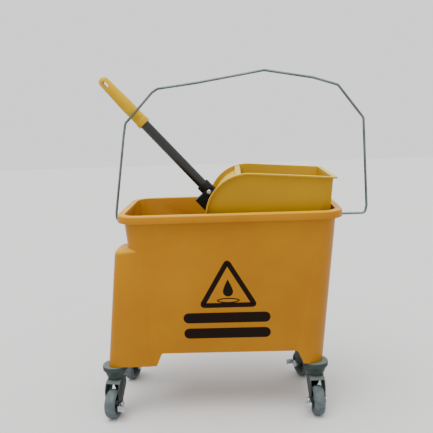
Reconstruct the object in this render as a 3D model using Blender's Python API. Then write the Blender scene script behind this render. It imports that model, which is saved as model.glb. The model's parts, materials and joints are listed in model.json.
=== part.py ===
"""Wheeled mop bucket with a lever-operated side-press wringer, as an assembly of separate pieces.

Metres, +Z up. The floor is z = 0 and the origin is the centre of the bounding box's bottom face.
+X runs along the tub towards the wringer's end wall, -Y is the side with the printed face.
"""

import math

import bmesh
import bpy
from mathutils import Matrix, Vector

# ---------------------------------------------------------------- driving dimensions

GAP = 0.0003                    # left between pieces that touch
EDGE = 0.001                    # bevel on moulded edges

# Casters
WHEEL_RADIUS = 0.0315
WHEEL_WIDTH = 0.024
TREAD = 0.008                   # tyre's thickness
TRAIL = 0.023                   # wheel's centre behind the swivel axis
TYRE_SHOULDER = 0.002           # how far the tread's shoulders drop
TYRE_CROWN = 0.006              # width of each shoulder
AXLE_RADIUS = 0.004
AXLE_HEAD_RADIUS = 0.0068
AXLE_HEAD = 0.003
FORK_SHEET = 0.0025
FORK_TOP = 2 * WHEEL_RADIUS + 0.0195
FORK_SIDE_ROOM = 0.002          # between the wheel and each fork leg
FORK_PLATE = 0.006
FORK_PLATE_RADIUS = 0.0185
FORK_BOSS = 0.001               # round boss on the plate
FORK_EYE = 0.0085               # round end of a fork leg about the axle
FORK_WEB_DEPTH = 0.020          # front web that joins the legs, from the top
CAP_RADIUS = 0.0275
CAP_DEPTH = 0.0105
CAP_EDGE = 0.003                # bevel round the cap
CONE_BOTTOM_RADIUS = 0.017
STEM_RADIUS = 0.0055
STEM_LENGTH = 0.023
KING_PIN_RADIUS = 0.0045
HUB_WALL = 0.004                # wheel core's hub round its bore
WEB_HALF = 0.004                # half the thickness of the core's web
CORE_RIM = 0.003                # wheel core's rim
BRAKE_SHEET = 0.002
BRAKE_LENGTH = 0.021
BRAKE_TREAD = 0.015             # width of the brake's foot tread
BRAKE_HALF = 0.0075
BRAKE_TIP_HALF = 0.006

# Tub
RIM_LENGTH = 0.466              # over the lip, along X
RIM_WIDTH = 0.270               # over the lip, along Y
RIM_TOP = 0.452                 # height of the lip's top face
LIP_OVERHANG = 0.012            # lip beyond the wall
LIP_DEPTH = 0.016               # lip's outer skirt, top to bottom
LIP_EDGE = 0.003                # bevel on the lip's top edge
TUB_WALL = 0.003
TUB_DRAFT = math.radians(4.4)   # slope of all four walls
TUB_CORNER = 0.033              # outer corner radius of the wall
FOOT_BOTTOM = FORK_TOP + 0.032  # height of the feet's lower faces
UNDERSIDE = FOOT_BOTTOM + 0.0305  # height of the tub's underside between its feet
FLOOR_FILLET = 0.008

# Feet and caster housings
LEFT_FOOT_LENGTH = 0.107
LEFT_FOOT_OUT = RIM_LENGTH / 2 + 0.041   # left feet's outer face from the tub's centre, at the bottom
RIGHT_FOOT_LENGTH = 0.044
FOOT_SLOPE = 0.013              # how far a foot's inner end leans over its height
FOOT_ROUND = 0.006
FOOT_SPLIT = 0.046              # half the gap between the near and far feet
HOUSING_TOP = RIM_TOP - 0.072   # top of the left caster housings
HOUSING_TOP_OUT = RIM_LENGTH / 2 + 0.009  # housing's outer face from the tub's centre, at its shoulder
HOUSING_ROUND = 0.013
HOUSING_CORNER = 0.016
HOUSING_PROUD = 0.0003          # housing's side face beyond the tub's wall
SOCKET_RADIUS = 0.010
CASTER_LEFT_X = 0.0122 - LEFT_FOOT_OUT
CASTER_FROM_RIGHT = 0.0172      # right casters' axis inside the wall's foot
CASTER_Y = RIM_WIDTH / 2 - 0.059

# Ledges that carry the wringer
LEDGE_TOP = RIM_TOP - 0.0473
LEDGE_DEPTH = 0.014
LEDGE_REACH = 0.011

# Wringer
WRINGER_LENGTH = 0.2611         # over the end walls at the top
WRINGER_WALL = 0.003
WRINGER_SIDE_SLOPE = 0.04       # side panels draw in by this much per metre of depth
WRINGER_END_SLOPE = 0.0875      # right wall's lean
WRINGER_RIGHT = RIM_LENGTH / 2 - LIP_OVERHANG - TUB_WALL - 0.0054  # right wall's outer face at the top
WRINGER_LEFT = WRINGER_RIGHT - WRINGER_LENGTH     # left wall's outer face
WRINGER_HALF_WIDTH = RIM_WIDTH / 2 - LIP_OVERHANG - TUB_WALL - 0.012  # side panel's outer face at the top
WRINGER_BOTTOM = RIM_TOP - 0.152
WRINGER_STEP_Z = RIM_TOP - 0.105  # bottom of the left wall, where the floor starts to slope
WRINGER_STEP_X = WRINGER_LEFT + 0.1065  # where the sloping floor meets the level floor
WRINGER_FLANGE = 0.007          # lip beyond the side panels and the right wall
FLANGE_THICKNESS = 0.003
CURVE_RADIUS = 0.0885
CURVE_CENTRE = (WRINGER_LEFT + CURVE_RADIUS, RIM_TOP - 0.010)  # of the side panels' round shoulder (x, z)
TOP_SLOPE = math.radians(4.24)  # the opening falls towards +X
HOOD_DROP = 0.010               # hood's face below the flange
HOOD_THICKNESS = 0.003
HOOD_BAR_LOW = CURVE_CENTRE[0] - 0.026   # hood's front bar, along X
HOOD_BAR_HIGH = CURVE_CENTRE[0] - 0.013
HOOD_BAR_DEPTH = 0.013
HOOD_BAR_EDGE = 0.002
HOOD_SLOT_HIGH = math.radians(137)       # upper end of the lever's slot in the hood
SKID_START = 0.020              # from the left wall
SKID_LENGTH = 0.200
SKID_THICKNESS = 0.006
SKID_REACH = 0.0085
DRAIN_SLOT = (0.014, 0.006)
DRAIN_PITCH = (0.024, 0.026)
DRAIN_LEVELS = 3                # rows of slots in the end wall
POST_LENGTH = 0.013
POST_DEPTH = 0.016
SCREW_RADIUS = 0.0015
SCREW_HEAD_RADIUS = 0.0034
SCREW_HEAD = 0.002
SCREW_LENGTH = 0.011

# Lever, geared to the press plate
LEVER_AXIS = (WRINGER_LEFT + 0.0265, RIM_TOP - 0.022)    # (x, z) of the lever's shaft
LEVER_ANGLE = math.radians(131.9)
SHAFT_RADIUS = 0.006
TUBE_RADIUS = 0.011
TUBE_OFFSET = 0.0156            # tube's centre line beside the shaft's centre
TUBE_WALL = 0.0015
TUBE_START = 0.038
GRIP_START = 0.2575
GRIP_LENGTH = 0.138
GRIP_RADIUS = TUBE_RADIUS + 0.0038
GRIP_TIP_RADIUS = GRIP_RADIUS - 0.0033
GRIP_OVERLAP = 0.105            # how far the tube reaches into the grip
GRIP_COLLAR = 0.010
GRIP_WAIST = 0.061              # from its lower end to where it starts to taper
LEVER_Y = GRIP_RADIUS + 0.0102  # the lever stands beside the middle, clear of the bail
SLOT_RADIUS = 0.0036            # hanging slot through the grip's tip
SLOT_LENGTH = 0.016
SLOT_FROM_TIP = 0.018
SOCKET_TOP = 0.0745
YOKE_THICKNESS = 2 * (TUBE_RADIUS + 0.004)
YOKE_BLOCK_TOP = 0.058
YOKE_FRONT = 0.020
YOKE_HUB = SHAFT_RADIUS + 0.0095
YOKE_BACK = 0.003               # yoke's wall behind the tube
YOKE_HEEL = 0.034               # where the yoke's back runs into its hub
YOKE_CLEARANCE = 0.004          # on each side of the yoke in its slot
BOLT_AT = 0.051
BOLT_RADIUS = 0.003
BOLT_HEAD = 0.003
NUT_RADIUS = 0.0058
NUT_HEIGHT = 0.0045
LEVER_RELEASE = math.radians(10)
LEVER_PULL = math.radians(40)

GEAR_MODULE = 0.0025
DRIVE_TEETH = 20
PLATE_TEETH = 16
PRESSURE_ANGLE = math.radians(20)
BACKLASH = 0.0005
GEAR_WIDTH = 0.010
GEAR_HUB = 0.0035               # hub's wall round the shaft
GEAR_Y = WRINGER_HALF_WIDTH - 0.021
GEAR_LINE = math.radians(-72.5)  # direction from the lever's shaft to the plate's shaft
MESH_MARGIN = math.radians(25)   # teeth kept beyond the arc that meets in use

# Press plate
PLATE_LEAN = math.radians(2)
PLATE_OFFSET = 0.022            # plate's back face in front of its shaft
PLATE_THICKNESS = 0.003
PLATE_ABOVE = 0.105
PLATE_BELOW = 0.015
PLATE_HALF_WIDTH = WRINGER_HALF_WIDTH - 0.0135
PLATE_SHAFT_RADIUS = 0.005
PLATE_RIB_DEPTH = 0.010
PLATE_RIB_LOW = 0.012
PLATE_RIB_HIGH = PLATE_ABOVE - 0.016
PLATE_EDGE = 0.004              # plate left plain above its ribs
PLATE_RIB_THICKNESS = 0.003
PLATE_RIBS = (-0.78, -0.40, 0.0, 0.55, 0.78)      # as shares of its half width
PLATE_DRAINS = (-0.89, -0.59, -0.20, 0.20, 0.40, 0.70, 0.89)
PLATE_ARM_Y = PLATE_HALF_WIDTH - 0.0315
PLATE_ARM_WIDTH = 0.008
PLATE_ARM_TOP = 0.026
PLATE_SLOT_LOW = 0.036          # middle of the lowest row of slots
PLATE_BOSS = 0.0045             # arm's wall round the shaft
PLATE_SLOT_ROWS = 3

# Bushes and shaft clips
BUSH_WALL = 0.0028
BUSH_FLANGE = 0.003
BUSH_FLANGE_THICKNESS = 0.0015
CLIP_THICKNESS = 0.0015
CLIP_HEIGHT = 0.0025
GROOVE_DEPTH = 0.001
SHAFT_END = 0.001               # shaft beyond its clips
CHAMFER = 0.0005

# Bail
WIRE_RADIUS = 0.00275
BAIL_AXIS_Z = RIM_TOP - 0.029
BAIL_LEAN = math.radians(1.0)
BAIL_BEND = 0.010
# Points of the bent wire from left to right: (end, x beyond that end's lip, height above the pivots)
BAIL_POINTS = (
    (-1, 0.0200, 0.0), (-1, 0.0200, 0.016), (-1, -0.0065, 0.188), (-1, -0.0115, 0.213), (-1, -0.0360, 0.238),
    (-1, -0.0730, 0.2770), (-1, -0.0850, 0.2845), (-1, -0.1717, 0.2943), (1, -0.1500, 0.3158),
    (1, -0.0460, 0.2968), (1, 0.0075, 0.2795), (1, 0.0620, 0.2080), (1, 0.0695, 0.016), (1, 0.0660, 0.0),
)
BAIL_TAIL = 0.009               # wire's end inside the bracket's face
BAIL_HEAD = 1.6                 # upset end's radius, in wire radii
BRACKET_SHEET = 0.002
BRACKET_HEIGHT = 0.020
BRACKET_STANDOFF = 0.014
BRACKET_HALF_BRIDGE = 0.012
BRACKET_HALF_LENGTH = 0.026
RIVET_RADIUS = 0.002
RIVET_HEAD_RADIUS = 0.004
RIVET_HEAD = 0.0015

# Swivel of each caster about Z at rest, by side and end
SWIVELS = {(-1, -1): 80.0, (-1, 1): 94.0, (1, -1): -105.0, (1, 1): -65.0}

ROUND = 20                      # sides of a round piece
MEDIUM = 16                     # sides of a smaller one
FINE = 12                       # sides of a small one
DOME = ((1.0, 0.0), (0.8, 0.75), (0.4, 1.0))      # rivet or screw head, as shares of radius and height
FILLET_LIMIT = 0.45             # share of a straight stretch that one rounded corner may take
TOOTH_LEVELS = (0.0, 0.35, 0.7, 1.0)              # heights drawn along a tooth's flank
GEAR_DEDENDUM = 1.25            # in modules
GEAR_HUB_STEPS = 10
CORNER_STEPS = 5
CURVE_STEPS = 12                # steps of the wringer's round shoulder
REACH = 0.2                     # length of a cutter that goes right through

# ---------------------------------------------------------------- derived sizes

HALF_LENGTH = RIM_LENGTH / 2 - LIP_OVERHANG
HALF_WIDTH = RIM_WIDTH / 2 - LIP_OVERHANG
CASTER_RIGHT_X = HALF_LENGTH - (RIM_TOP - FOOT_BOTTOM) * math.tan(TUB_DRAFT) - CASTER_FROM_RIGHT
GEAR_CENTRES = GEAR_MODULE * (DRIVE_TEETH + PLATE_TEETH) / 2
PLATE_AXIS = (LEVER_AXIS[0] + GEAR_CENTRES * math.cos(GEAR_LINE),
              LEVER_AXIS[1] + GEAR_CENTRES * math.sin(GEAR_LINE))
GEAR_RATIO = DRIVE_TEETH / PLATE_TEETH
BRACKET_Z = BAIL_AXIS_Z + BRACKET_STANDOFF * math.tan(TUB_DRAFT)
BAIL_ROUTE = [(end * (RIM_LENGTH / 2 + beyond), height) for end, beyond, height in BAIL_POINTS]
LEFT_REACH = abs(CASTER_LEFT_X) + CAP_RADIUS
RIGHT_REACH = max(x for x, height in BAIL_ROUTE) + WIRE_RADIUS

YELLOW = (0.78, 0.40, 0.015)
LIGHT_YELLOW = (0.80, 0.50, 0.02)
BLACK = (0.012, 0.012, 0.010)
STEEL = (0.45, 0.47, 0.48)
GREY = (0.16, 0.18, 0.18)
TYRE_GREY = (0.12, 0.14, 0.14)


# ---------------------------------------------------------------- shape helpers

def loft(rings, closed=False):
    """Solid skin through rings of points; open lofts get flat end caps, closed ones meet themselves."""
    shape = bmesh.new()
    loops = [[shape.verts.new(point) for point in ring] for ring in rings]
    pairs = list(zip(loops, loops[1:] + loops[:1])) if closed else list(zip(loops, loops[1:]))
    for lower, upper in pairs:
        for index in range(len(lower)):
            following = (index + 1) % len(lower)
            shape.faces.new((lower[index], lower[following], upper[following], upper[index]))
    if not closed:
        shape.faces.new(reversed(loops[0]))
        shape.faces.new(loops[-1])
    bmesh.ops.recalc_face_normals(shape, faces=shape.faces)
    return shape


def prism(outline, low, high):
    """Solid with an (x, z) outline, from y = low to y = high."""
    return loft([[(x, low, z) for x, z in outline], [(x, high, z) for x, z in outline]])


def block(x_span, y_span, z_span):
    """Rectangular solid between the given spans."""
    (x_low, x_high), (z_low, z_high) = x_span, z_span
    return prism([(x_low, z_low), (x_high, z_low), (x_high, z_high), (x_low, z_high)], *y_span)


def circle(radius, z, sides):
    """Ring of points about the Z axis."""
    turns = [2 * math.pi * step / sides for step in range(sides)]
    return [(radius * math.cos(turn), radius * math.sin(turn), z) for turn in turns]


def turned(profile, sides=ROUND, hollow=False):
    """Solid of revolution about Z from (radius, z) points; hollow closes the profile on itself."""
    return loft([circle(radius, z, sides) for radius, z in profile], closed=hollow)


def drill(radius, reach=REACH, sides=FINE):
    """Round cutter along Z, reaching the same way up and down."""
    return turned([(radius, -reach), (radius, reach)], sides)


def dome(radius, base, height):
    """Profile of a domed head that stands on a base."""
    return [(radius * share, base + height * rise) for share, rise in DOME]


def rounded_rectangle(x_span, y_span, radius, z):
    """Ring of points round a rectangle with rounded corners."""
    x_low, x_high = x_span
    y_low, y_high = y_span
    corners = [(x_high - radius, y_high - radius, 0), (x_low + radius, y_high - radius, 90),
               (x_low + radius, y_low + radius, 180), (x_high - radius, y_low + radius, 270)]
    ring = []
    for centre_x, centre_y, start in corners:
        for step in range(CORNER_STEPS + 1):
            turn = math.radians(start + 90 * step / CORNER_STEPS)
            ring.append((centre_x + radius * math.cos(turn), centre_y + radius * math.sin(turn), z))
    return ring


def arc(centre, radius, start, end, steps):
    """Points on an arc in a plane, with angles in radians."""
    return [(centre[0] + radius * math.cos(start + (end - start) * step / steps),
             centre[1] + radius * math.sin(start + (end - start) * step / steps))
            for step in range(steps + 1)]


def moved(shape, x=0.0, y=0.0, z=0.0):
    """Shape shifted in place."""
    bmesh.ops.translate(shape, verts=shape.verts, vec=(x, y, z))
    return shape


def turned_to(shape, axis):
    """Shape whose own Z axis is laid along the world's X or Y axis."""
    angle, about = (90, "Y") if axis == "X" else (-90, "X")
    matrix = Matrix.Rotation(math.radians(angle), 3, about)
    bmesh.ops.rotate(shape, verts=shape.verts, cent=(0, 0, 0), matrix=matrix)
    return shape


def merged(shapes):
    """One mesh that holds several separate solids, for use as a single cutter."""
    result = bmesh.new()
    for shape in shapes:
        mesh = bpy.data.meshes.new("tool")
        shape.to_mesh(mesh)
        result.from_mesh(mesh)
        bpy.data.meshes.remove(mesh)
    return result


def swept(path, radius, sides):
    """Round bar along a path in the XZ plane."""
    rings = []
    for index, point in enumerate(path):
        ahead = path[min(index + 1, len(path) - 1)]
        behind = path[max(index - 1, 0)]
        along = (Vector(ahead) - Vector(behind)).normalized()
        across = Vector((-along[1], along[0]))
        ring = []
        for side in range(sides):
            turn = 2 * math.pi * side / sides
            shift = across * radius * math.cos(turn)
            ring.append((point[0] + shift[0], radius * math.sin(turn), point[1] + shift[1]))
        rings.append(ring)
    return loft(rings)


def filleted(points, radius, steps=3):
    """Path through the points with each corner rounded."""
    path = [points[0]]
    for before, corner, after in zip(points, points[1:], points[2:]):
        into = (Vector(corner) - Vector(before))
        out = (Vector(after) - Vector(corner))
        turn = into.angle(out)
        reach = min(radius * math.tan(turn / 2), FILLET_LIMIT * into.length, FILLET_LIMIT * out.length)
        start = Vector(corner) - into.normalized() * reach
        end = Vector(corner) + out.normalized() * reach
        for step in range(steps + 1):
            share = step / steps
            point = start.lerp(Vector(corner), share).lerp(Vector(corner).lerp(end, share), share)
            path.append((point[0], point[1]))
    path.append(points[-1])
    return path


# ---------------------------------------------------------------- object helpers

def material(name, colour, roughness, metallic=0.0):
    """Principled material with one colour."""
    result = bpy.data.materials.new(name)
    result.use_nodes = True
    shader = result.node_tree.nodes["Principled BSDF"]
    shader.inputs["Base Color"].default_value = (*colour, 1.0)
    shader.inputs["Roughness"].default_value = roughness
    shader.inputs["Metallic"].default_value = metallic
    return result


def pivot(name, location, parent=None, rotation=(0.0, 0.0, 0.0)):
    """Empty that pieces hang on."""
    empty = bpy.data.objects.new(name, None)
    bpy.context.collection.objects.link(empty)
    empty.location = location
    empty.rotation_euler = rotation
    empty.parent = parent
    return empty


def piece(name, shape, finish, parent, location=(0.0, 0.0, 0.0)):
    """Named object made from a shape."""
    mesh = bpy.data.meshes.new(name)
    shape.to_mesh(mesh)
    shape.free()
    mesh.materials.append(material(name, *finish))
    mesh.shade_smooth()
    mesh.set_sharp_from_angle(angle=math.radians(32))
    result = bpy.data.objects.new(name, mesh)
    bpy.context.collection.objects.link(result)
    result.location = location
    result.parent = parent
    return result


def worked(target, shape, operation):
    """Add a Boolean of the shape to the target."""
    mesh = bpy.data.meshes.new(target.name + "_tool")
    shape.to_mesh(mesh)
    shape.free()
    tool = bpy.data.objects.new(mesh.name, mesh)
    bpy.context.collection.objects.link(tool)
    tool.parent = target
    tool.hide_render = True
    tool.display_type = "WIRE"
    step = target.modifiers.new("shape", "BOOLEAN")
    step.operation = operation
    step.solver = "EXACT"
    step.object = tool


def cut(target, *shapes):
    """Take the shapes away from the target."""
    for shape in shapes:
        worked(target, shape, "DIFFERENCE")


def added(target, *shapes):
    """Join the shapes to the target."""
    for shape in shapes:
        worked(target, shape, "UNION")


YELLOW_PLASTIC = (YELLOW, 0.42)
LIGHT_PLASTIC = (LIGHT_YELLOW, 0.40)
BLACK_PLASTIC = (BLACK, 0.5)
BLACK_STEEL = (BLACK, 0.38, 0.2)
BARE_STEEL = (STEEL, 0.3, 1.0)
GREY_PLASTIC = (GREY, 0.5)
GREY_RUBBER = (TYRE_GREY, 0.75)


# ---------------------------------------------------------------- tub

def wall_length(z):
    """Half the tub's outer length at a height."""
    return HALF_LENGTH - (RIM_TOP - z) * math.tan(TUB_DRAFT)


def wall_width(z):
    """Half the tub's outer width at a height."""
    return HALF_WIDTH - (RIM_TOP - z) * math.tan(TUB_DRAFT)


def tub_ring(z, outward=0.0, at=None):
    """Outline of the tub's wall at a height, offset outward; at gives another level to draw it on."""
    length = wall_length(z) + outward
    width = wall_width(z) + outward
    level = z if at is None else at
    return rounded_rectangle((-length, length), (-width, width), TUB_CORNER + outward, level)


def housing_out(z):
    """Outer face of the left housings from the tub's centre, at a height."""
    lean = (LEFT_FOOT_OUT - HOUSING_TOP_OUT) / (HOUSING_TOP - HOUSING_ROUND - FOOT_BOTTOM)
    return LEFT_FOOT_OUT - (z - FOOT_BOTTOM) * lean


def housing_ring(z, inset, side):
    """Outline of a left caster housing at a height."""
    x_span = (-housing_out(min(z, HOUSING_TOP - HOUSING_ROUND)) + inset, -LEFT_FOOT_OUT + LEFT_FOOT_LENGTH)
    outer = wall_width(z) + HOUSING_PROUD - inset
    y_span = sorted((side * FOOT_SPLIT, side * outer))
    return rounded_rectangle(x_span, y_span, HOUSING_CORNER, z)


def housing(side):
    """Left caster housing: a tapering box with a rounded shoulder."""
    shoulder = HOUSING_TOP - HOUSING_ROUND
    rings = [housing_ring(FOOT_BOTTOM, 0.0, side), housing_ring(shoulder, 0.0, side)]
    for turn in (math.radians(20), math.radians(40), math.radians(60), math.radians(80)):
        inset = HOUSING_ROUND * (1 - math.cos(turn))
        rings.append(housing_ring(shoulder + HOUSING_ROUND * math.sin(turn), inset, side))
    return loft(rings)


def housing_hollow(side):
    """Wedge-shaped hollow of a left housing, open below, outside the tub's own wall."""
    top = HOUSING_TOP - HOUSING_ROUND - TUB_WALL
    rings = []
    for z in (FOOT_BOTTOM - TUB_WALL, top):
        x_span = (-housing_out(z) + TUB_WALL, -wall_length(z) - GAP)
        y_span = sorted((side * (FOOT_SPLIT + TUB_WALL), side * (wall_width(z) - TUB_CORNER / 2)))
        rings.append([(x, y, z) for x, y in ((x_span[0], y_span[0]), (x_span[1], y_span[0]),
                                             (x_span[1], y_span[1]), (x_span[0], y_span[1]))])
    return loft(rings)


def foot_hollow(inner_x, outer_x, side, corner):
    """Shallow hollow of a foot under the tub's floor, rounded where the foot's outer corner is."""
    end = 1 if outer_x > inner_x else -1
    radius = corner - TUB_WALL
    inner_y, outer_y = FOOT_SPLIT + TUB_WALL, wall_width(FOOT_BOTTOM) - TUB_WALL
    corner_line = arc((outer_x - end * radius, outer_y - radius), radius, math.pi / 2 * (1 - end),
                      math.pi / 2, CORNER_STEPS)
    outline = [(inner_x, inner_y), (outer_x, inner_y), *corner_line, (inner_x, outer_y)]
    levels = (FOOT_BOTTOM - TUB_WALL, UNDERSIDE - TUB_WALL)
    return loft([[(x, side * y, z) for x, y in outline] for z in levels])


def belly_cutter():
    """Space between the left and right feet under the tub, with rounded corners."""
    left = -LEFT_FOOT_OUT + LEFT_FOOT_LENGTH
    right = wall_length(FOOT_BOTTOM) - RIGHT_FOOT_LENGTH
    low, below = FOOT_BOTTOM - GAP, FOOT_BOTTOM - TUB_WALL
    past = 2 * FOOT_ROUND
    path = filleted([(left - past, below), (left - past, low), (left, low), (left + FOOT_SLOPE, UNDERSIDE),
                     (right - FOOT_SLOPE, UNDERSIDE), (right, low), (right + past, low),
                     (right + past, below)],
                    FOOT_ROUND)
    return prism(path, -RIM_WIDTH, RIM_WIDTH)


def make_tub(parent):
    """Moulded tub: tapering walls, rolled lip, caster housings, feet and wringer ledges."""
    skirt = RIM_TOP - LIP_DEPTH
    tub = piece("tub", loft([
        tub_ring(FOOT_BOTTOM), tub_ring(RIM_TOP - LIP_EDGE - TUB_WALL),
        tub_ring(RIM_TOP, LIP_OVERHANG - TUB_WALL, RIM_TOP - LIP_EDGE - TUB_WALL),
        tub_ring(RIM_TOP, LIP_OVERHANG - TUB_WALL, skirt), tub_ring(RIM_TOP, LIP_OVERHANG, skirt),
        tub_ring(RIM_TOP, LIP_OVERHANG, RIM_TOP - LIP_EDGE),
        tub_ring(RIM_TOP, LIP_OVERHANG - LIP_EDGE / 3, RIM_TOP - LIP_EDGE / 3),
        tub_ring(RIM_TOP, LIP_OVERHANG - LIP_EDGE)]), YELLOW_PLASTIC, parent)
    added(tub, housing(-1), housing(1))

    foot_inner_left = -LEFT_FOOT_OUT + LEFT_FOOT_LENGTH
    foot_inner_right = wall_length(FOOT_BOTTOM) - RIGHT_FOOT_LENGTH
    below = FOOT_BOTTOM - TUB_WALL
    cut(tub, belly_cutter())
    cut(tub, block((-RIM_LENGTH, RIM_LENGTH), (-FOOT_SPLIT, FOOT_SPLIT), (below, UNDERSIDE)))
    floor = UNDERSIDE + TUB_WALL
    cut(tub, loft([tub_ring(floor, -TUB_WALL - FLOOR_FILLET),
                   tub_ring(floor + FLOOR_FILLET, -TUB_WALL),
                   tub_ring(RIM_TOP + TUB_WALL, -TUB_WALL)]))

    for side in (-1, 1):
        cut(tub, housing_hollow(side))
        cut(tub, foot_hollow(foot_inner_left - TUB_WALL, -LEFT_FOOT_OUT + TUB_WALL + GAP, side,
                             HOUSING_CORNER))
        cut(tub, foot_hollow(foot_inner_right + TUB_WALL, wall_length(FOOT_BOTTOM) - TUB_WALL, side,
                             TUB_CORNER))
        web_left = -housing_out(UNDERSIDE) + TUB_WALL / 2
        added(tub, block((web_left, foot_inner_left - TUB_WALL / 2),
                         (side * CASTER_Y - TUB_WALL / 2, side * CASTER_Y + TUB_WALL / 2),
                         (FOOT_BOTTOM, UNDERSIDE)))
        for x in (CASTER_LEFT_X, CASTER_RIGHT_X):
            boss = turned([(SOCKET_RADIUS, FOOT_BOTTOM), (SOCKET_RADIUS, UNDERSIDE - TUB_WALL / 2)])
            added(tub, moved(boss, x, side * CASTER_Y))
            socket = STEM_RADIUS + GAP
            bore = turned([(socket, below), (socket, FOOT_BOTTOM + STEM_LENGTH + GAP)], FINE)
            cut(tub, moved(bore, x, side * CASTER_Y))
        ledge_inner = wall_width(LEDGE_TOP) - TUB_WALL - LEDGE_REACH
        ledge_outer = wall_width(LEDGE_TOP) - TUB_WALL / 2
        added(tub, prism_along_x(
            [(side * ledge_inner, LEDGE_TOP), (side * ledge_outer, LEDGE_TOP),
             (side * (ledge_outer - LEDGE_DEPTH * math.tan(TUB_DRAFT)), LEDGE_TOP - LEDGE_DEPTH),
             (side * ledge_inner, LEDGE_TOP - LEDGE_DEPTH / 3)],
            WRINGER_LEFT, wall_length(LEDGE_TOP) - TUB_CORNER))
    for end in (-1, 1):
        for side in (-1, 1):
            hole = turned_to(drill(RIVET_RADIUS + GAP, BRACKET_HALF_LENGTH), "X")
            lean = Matrix.Rotation(end * TUB_DRAFT, 3, "Y")
            bmesh.ops.rotate(hole, verts=hole.verts, cent=(0, 0, 0), matrix=lean)
            cut(tub, moved(hole, end * wall_length(BRACKET_Z), side * bracket_rivet_y(), BRACKET_Z))
    return tub


def prism_along_x(outline, low, high):
    """Solid with a (y, z) outline, from x = low to x = high."""
    return loft([[(low, y, z) for y, z in outline], [(high, y, z) for y, z in outline]])


# ---------------------------------------------------------------- bail and its brackets

def bracket_rivet_y():
    """Distance of a bracket's rivets from its middle."""
    return (BRACKET_HALF_BRIDGE + BRACKET_HALF_LENGTH) / 2


def make_bracket(name, end, parent):
    """Hat-shaped strip riveted to an end wall; the bail's end turns in its raised middle."""
    face = BRACKET_STANDOFF
    inner = BRACKET_HALF_BRIDGE
    outline = [(-BRACKET_HALF_LENGTH, 0.0), (-inner, 0.0), (-inner + BRACKET_SHEET, face - BRACKET_SHEET),
               (inner - BRACKET_SHEET, face - BRACKET_SHEET), (inner, 0.0), (BRACKET_HALF_LENGTH, 0.0),
               (BRACKET_HALF_LENGTH, BRACKET_SHEET), (inner + BRACKET_SHEET, BRACKET_SHEET),
               (inner, face), (-inner, face), (-inner - BRACKET_SHEET, BRACKET_SHEET),
               (-BRACKET_HALF_LENGTH, BRACKET_SHEET)]
    half = BRACKET_HEIGHT / 2
    shape = loft([[(x, y, z) for y, x in outline] for z in (-half, half)])
    outward = Matrix.Rotation(0.0 if end > 0 else math.pi, 3, "Z")
    seat = pivot(name + "_seat", (end * (wall_length(BRACKET_Z) + GAP), 0.0, BRACKET_Z), parent,
                 (0.0, end * TUB_DRAFT, 0.0))
    bmesh.ops.rotate(shape, verts=shape.verts, cent=(0, 0, 0), matrix=outward)
    bracket = piece(name, shape, BARE_STEEL, seat)
    holes = []
    reach = 3 * BRACKET_SHEET
    for y, x in ((0.0, face), (bracket_rivet_y(), 0.0), (-bracket_rivet_y(), 0.0)):
        radius = WIRE_RADIUS + 2 * GAP if y == 0.0 else RIVET_RADIUS + GAP
        hole = turned_to(drill(radius, reach), "X")
        holes.append(moved(hole, end * x, y))
    cut(bracket, merged(holes))
    for label, side in (("near", -1), ("far", 1)):
        inside = -TUB_WALL - 2 * GAP
        outside = BRACKET_SHEET + GAP
        profile = [(RIVET_HEAD_RADIUS, inside - RIVET_HEAD), (RIVET_HEAD_RADIUS, inside - GAP),
                   (RIVET_RADIUS, inside - GAP), (RIVET_RADIUS, outside),
                   *dome(RIVET_HEAD_RADIUS, outside, RIVET_HEAD)]
        rivet = turned_to(turned(profile, FINE), "X")
        bmesh.ops.rotate(rivet, verts=rivet.verts, cent=(0, 0, 0), matrix=outward)
        piece(f"{name}_rivet_{label}", rivet, BARE_STEEL, seat, (0.0, side * bracket_rivet_y(), 0.0))


def bracket_face(end):
    """Outer face of a bail bracket along X."""
    return end * (wall_length(BAIL_AXIS_Z) + GAP + BRACKET_STANDOFF)


def make_bail(parent):
    """Bent steel wire; each end runs through a bracket and is upset inside it."""
    hinge = pivot("bail_axis", (0.0, 0.0, BAIL_AXIS_Z), parent, (-BAIL_LEAN, 0.0, 0.0))
    left = (bracket_face(-1) + BAIL_TAIL, 0.0)
    right = (bracket_face(1) - BAIL_TAIL, 0.0)
    path = filleted([left, *BAIL_ROUTE, right], BAIL_BEND)
    bail = piece("bail", swept(path, WIRE_RADIUS, 8), BARE_STEEL, hinge)
    for end, (x, z) in ((-1, left), (1, right)):
        head = turned_to(drill(WIRE_RADIUS * BAIL_HEAD, BRACKET_SHEET / 2), "X")
        added(bail, moved(head, x - end * GAP, 0.0, z))


# ---------------------------------------------------------------- casters

def caster_label(side, end):
    """Name of a caster's place: near or far side, left or right end."""
    return f"{'near' if side < 0 else 'far'}_{'left' if end < 0 else 'right'}"


def make_caster_cap(label, place):
    """Fixed upper part: stem, round cap and cone, with the king pin that the fork turns on."""
    top = FOOT_BOTTOM - GAP
    rim = top - CAP_DEPTH
    cone_foot = FORK_TOP + GAP
    pin_head = FORK_TOP - FORK_PLATE - GAP
    stem_top, pin_rim = top + STEM_LENGTH, KING_PIN_RADIUS * 1.7
    profile = [(STEM_RADIUS * 0.7, stem_top), (STEM_RADIUS, stem_top - CAP_EDGE), (STEM_RADIUS, top),
               (CAP_RADIUS - CAP_EDGE, top), (CAP_RADIUS, top - CAP_EDGE), (CAP_RADIUS, rim),
               (CAP_RADIUS - CAP_EDGE, rim - CAP_EDGE / 2), (CONE_BOTTOM_RADIUS, cone_foot),
               (KING_PIN_RADIUS, cone_foot), (KING_PIN_RADIUS, pin_head), (pin_rim, pin_head),
               (KING_PIN_RADIUS * 1.4, pin_head - CAP_EDGE)]
    piece(f"caster_cap_{label}", turned(profile, MEDIUM), GREY_PLASTIC, place)


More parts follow.
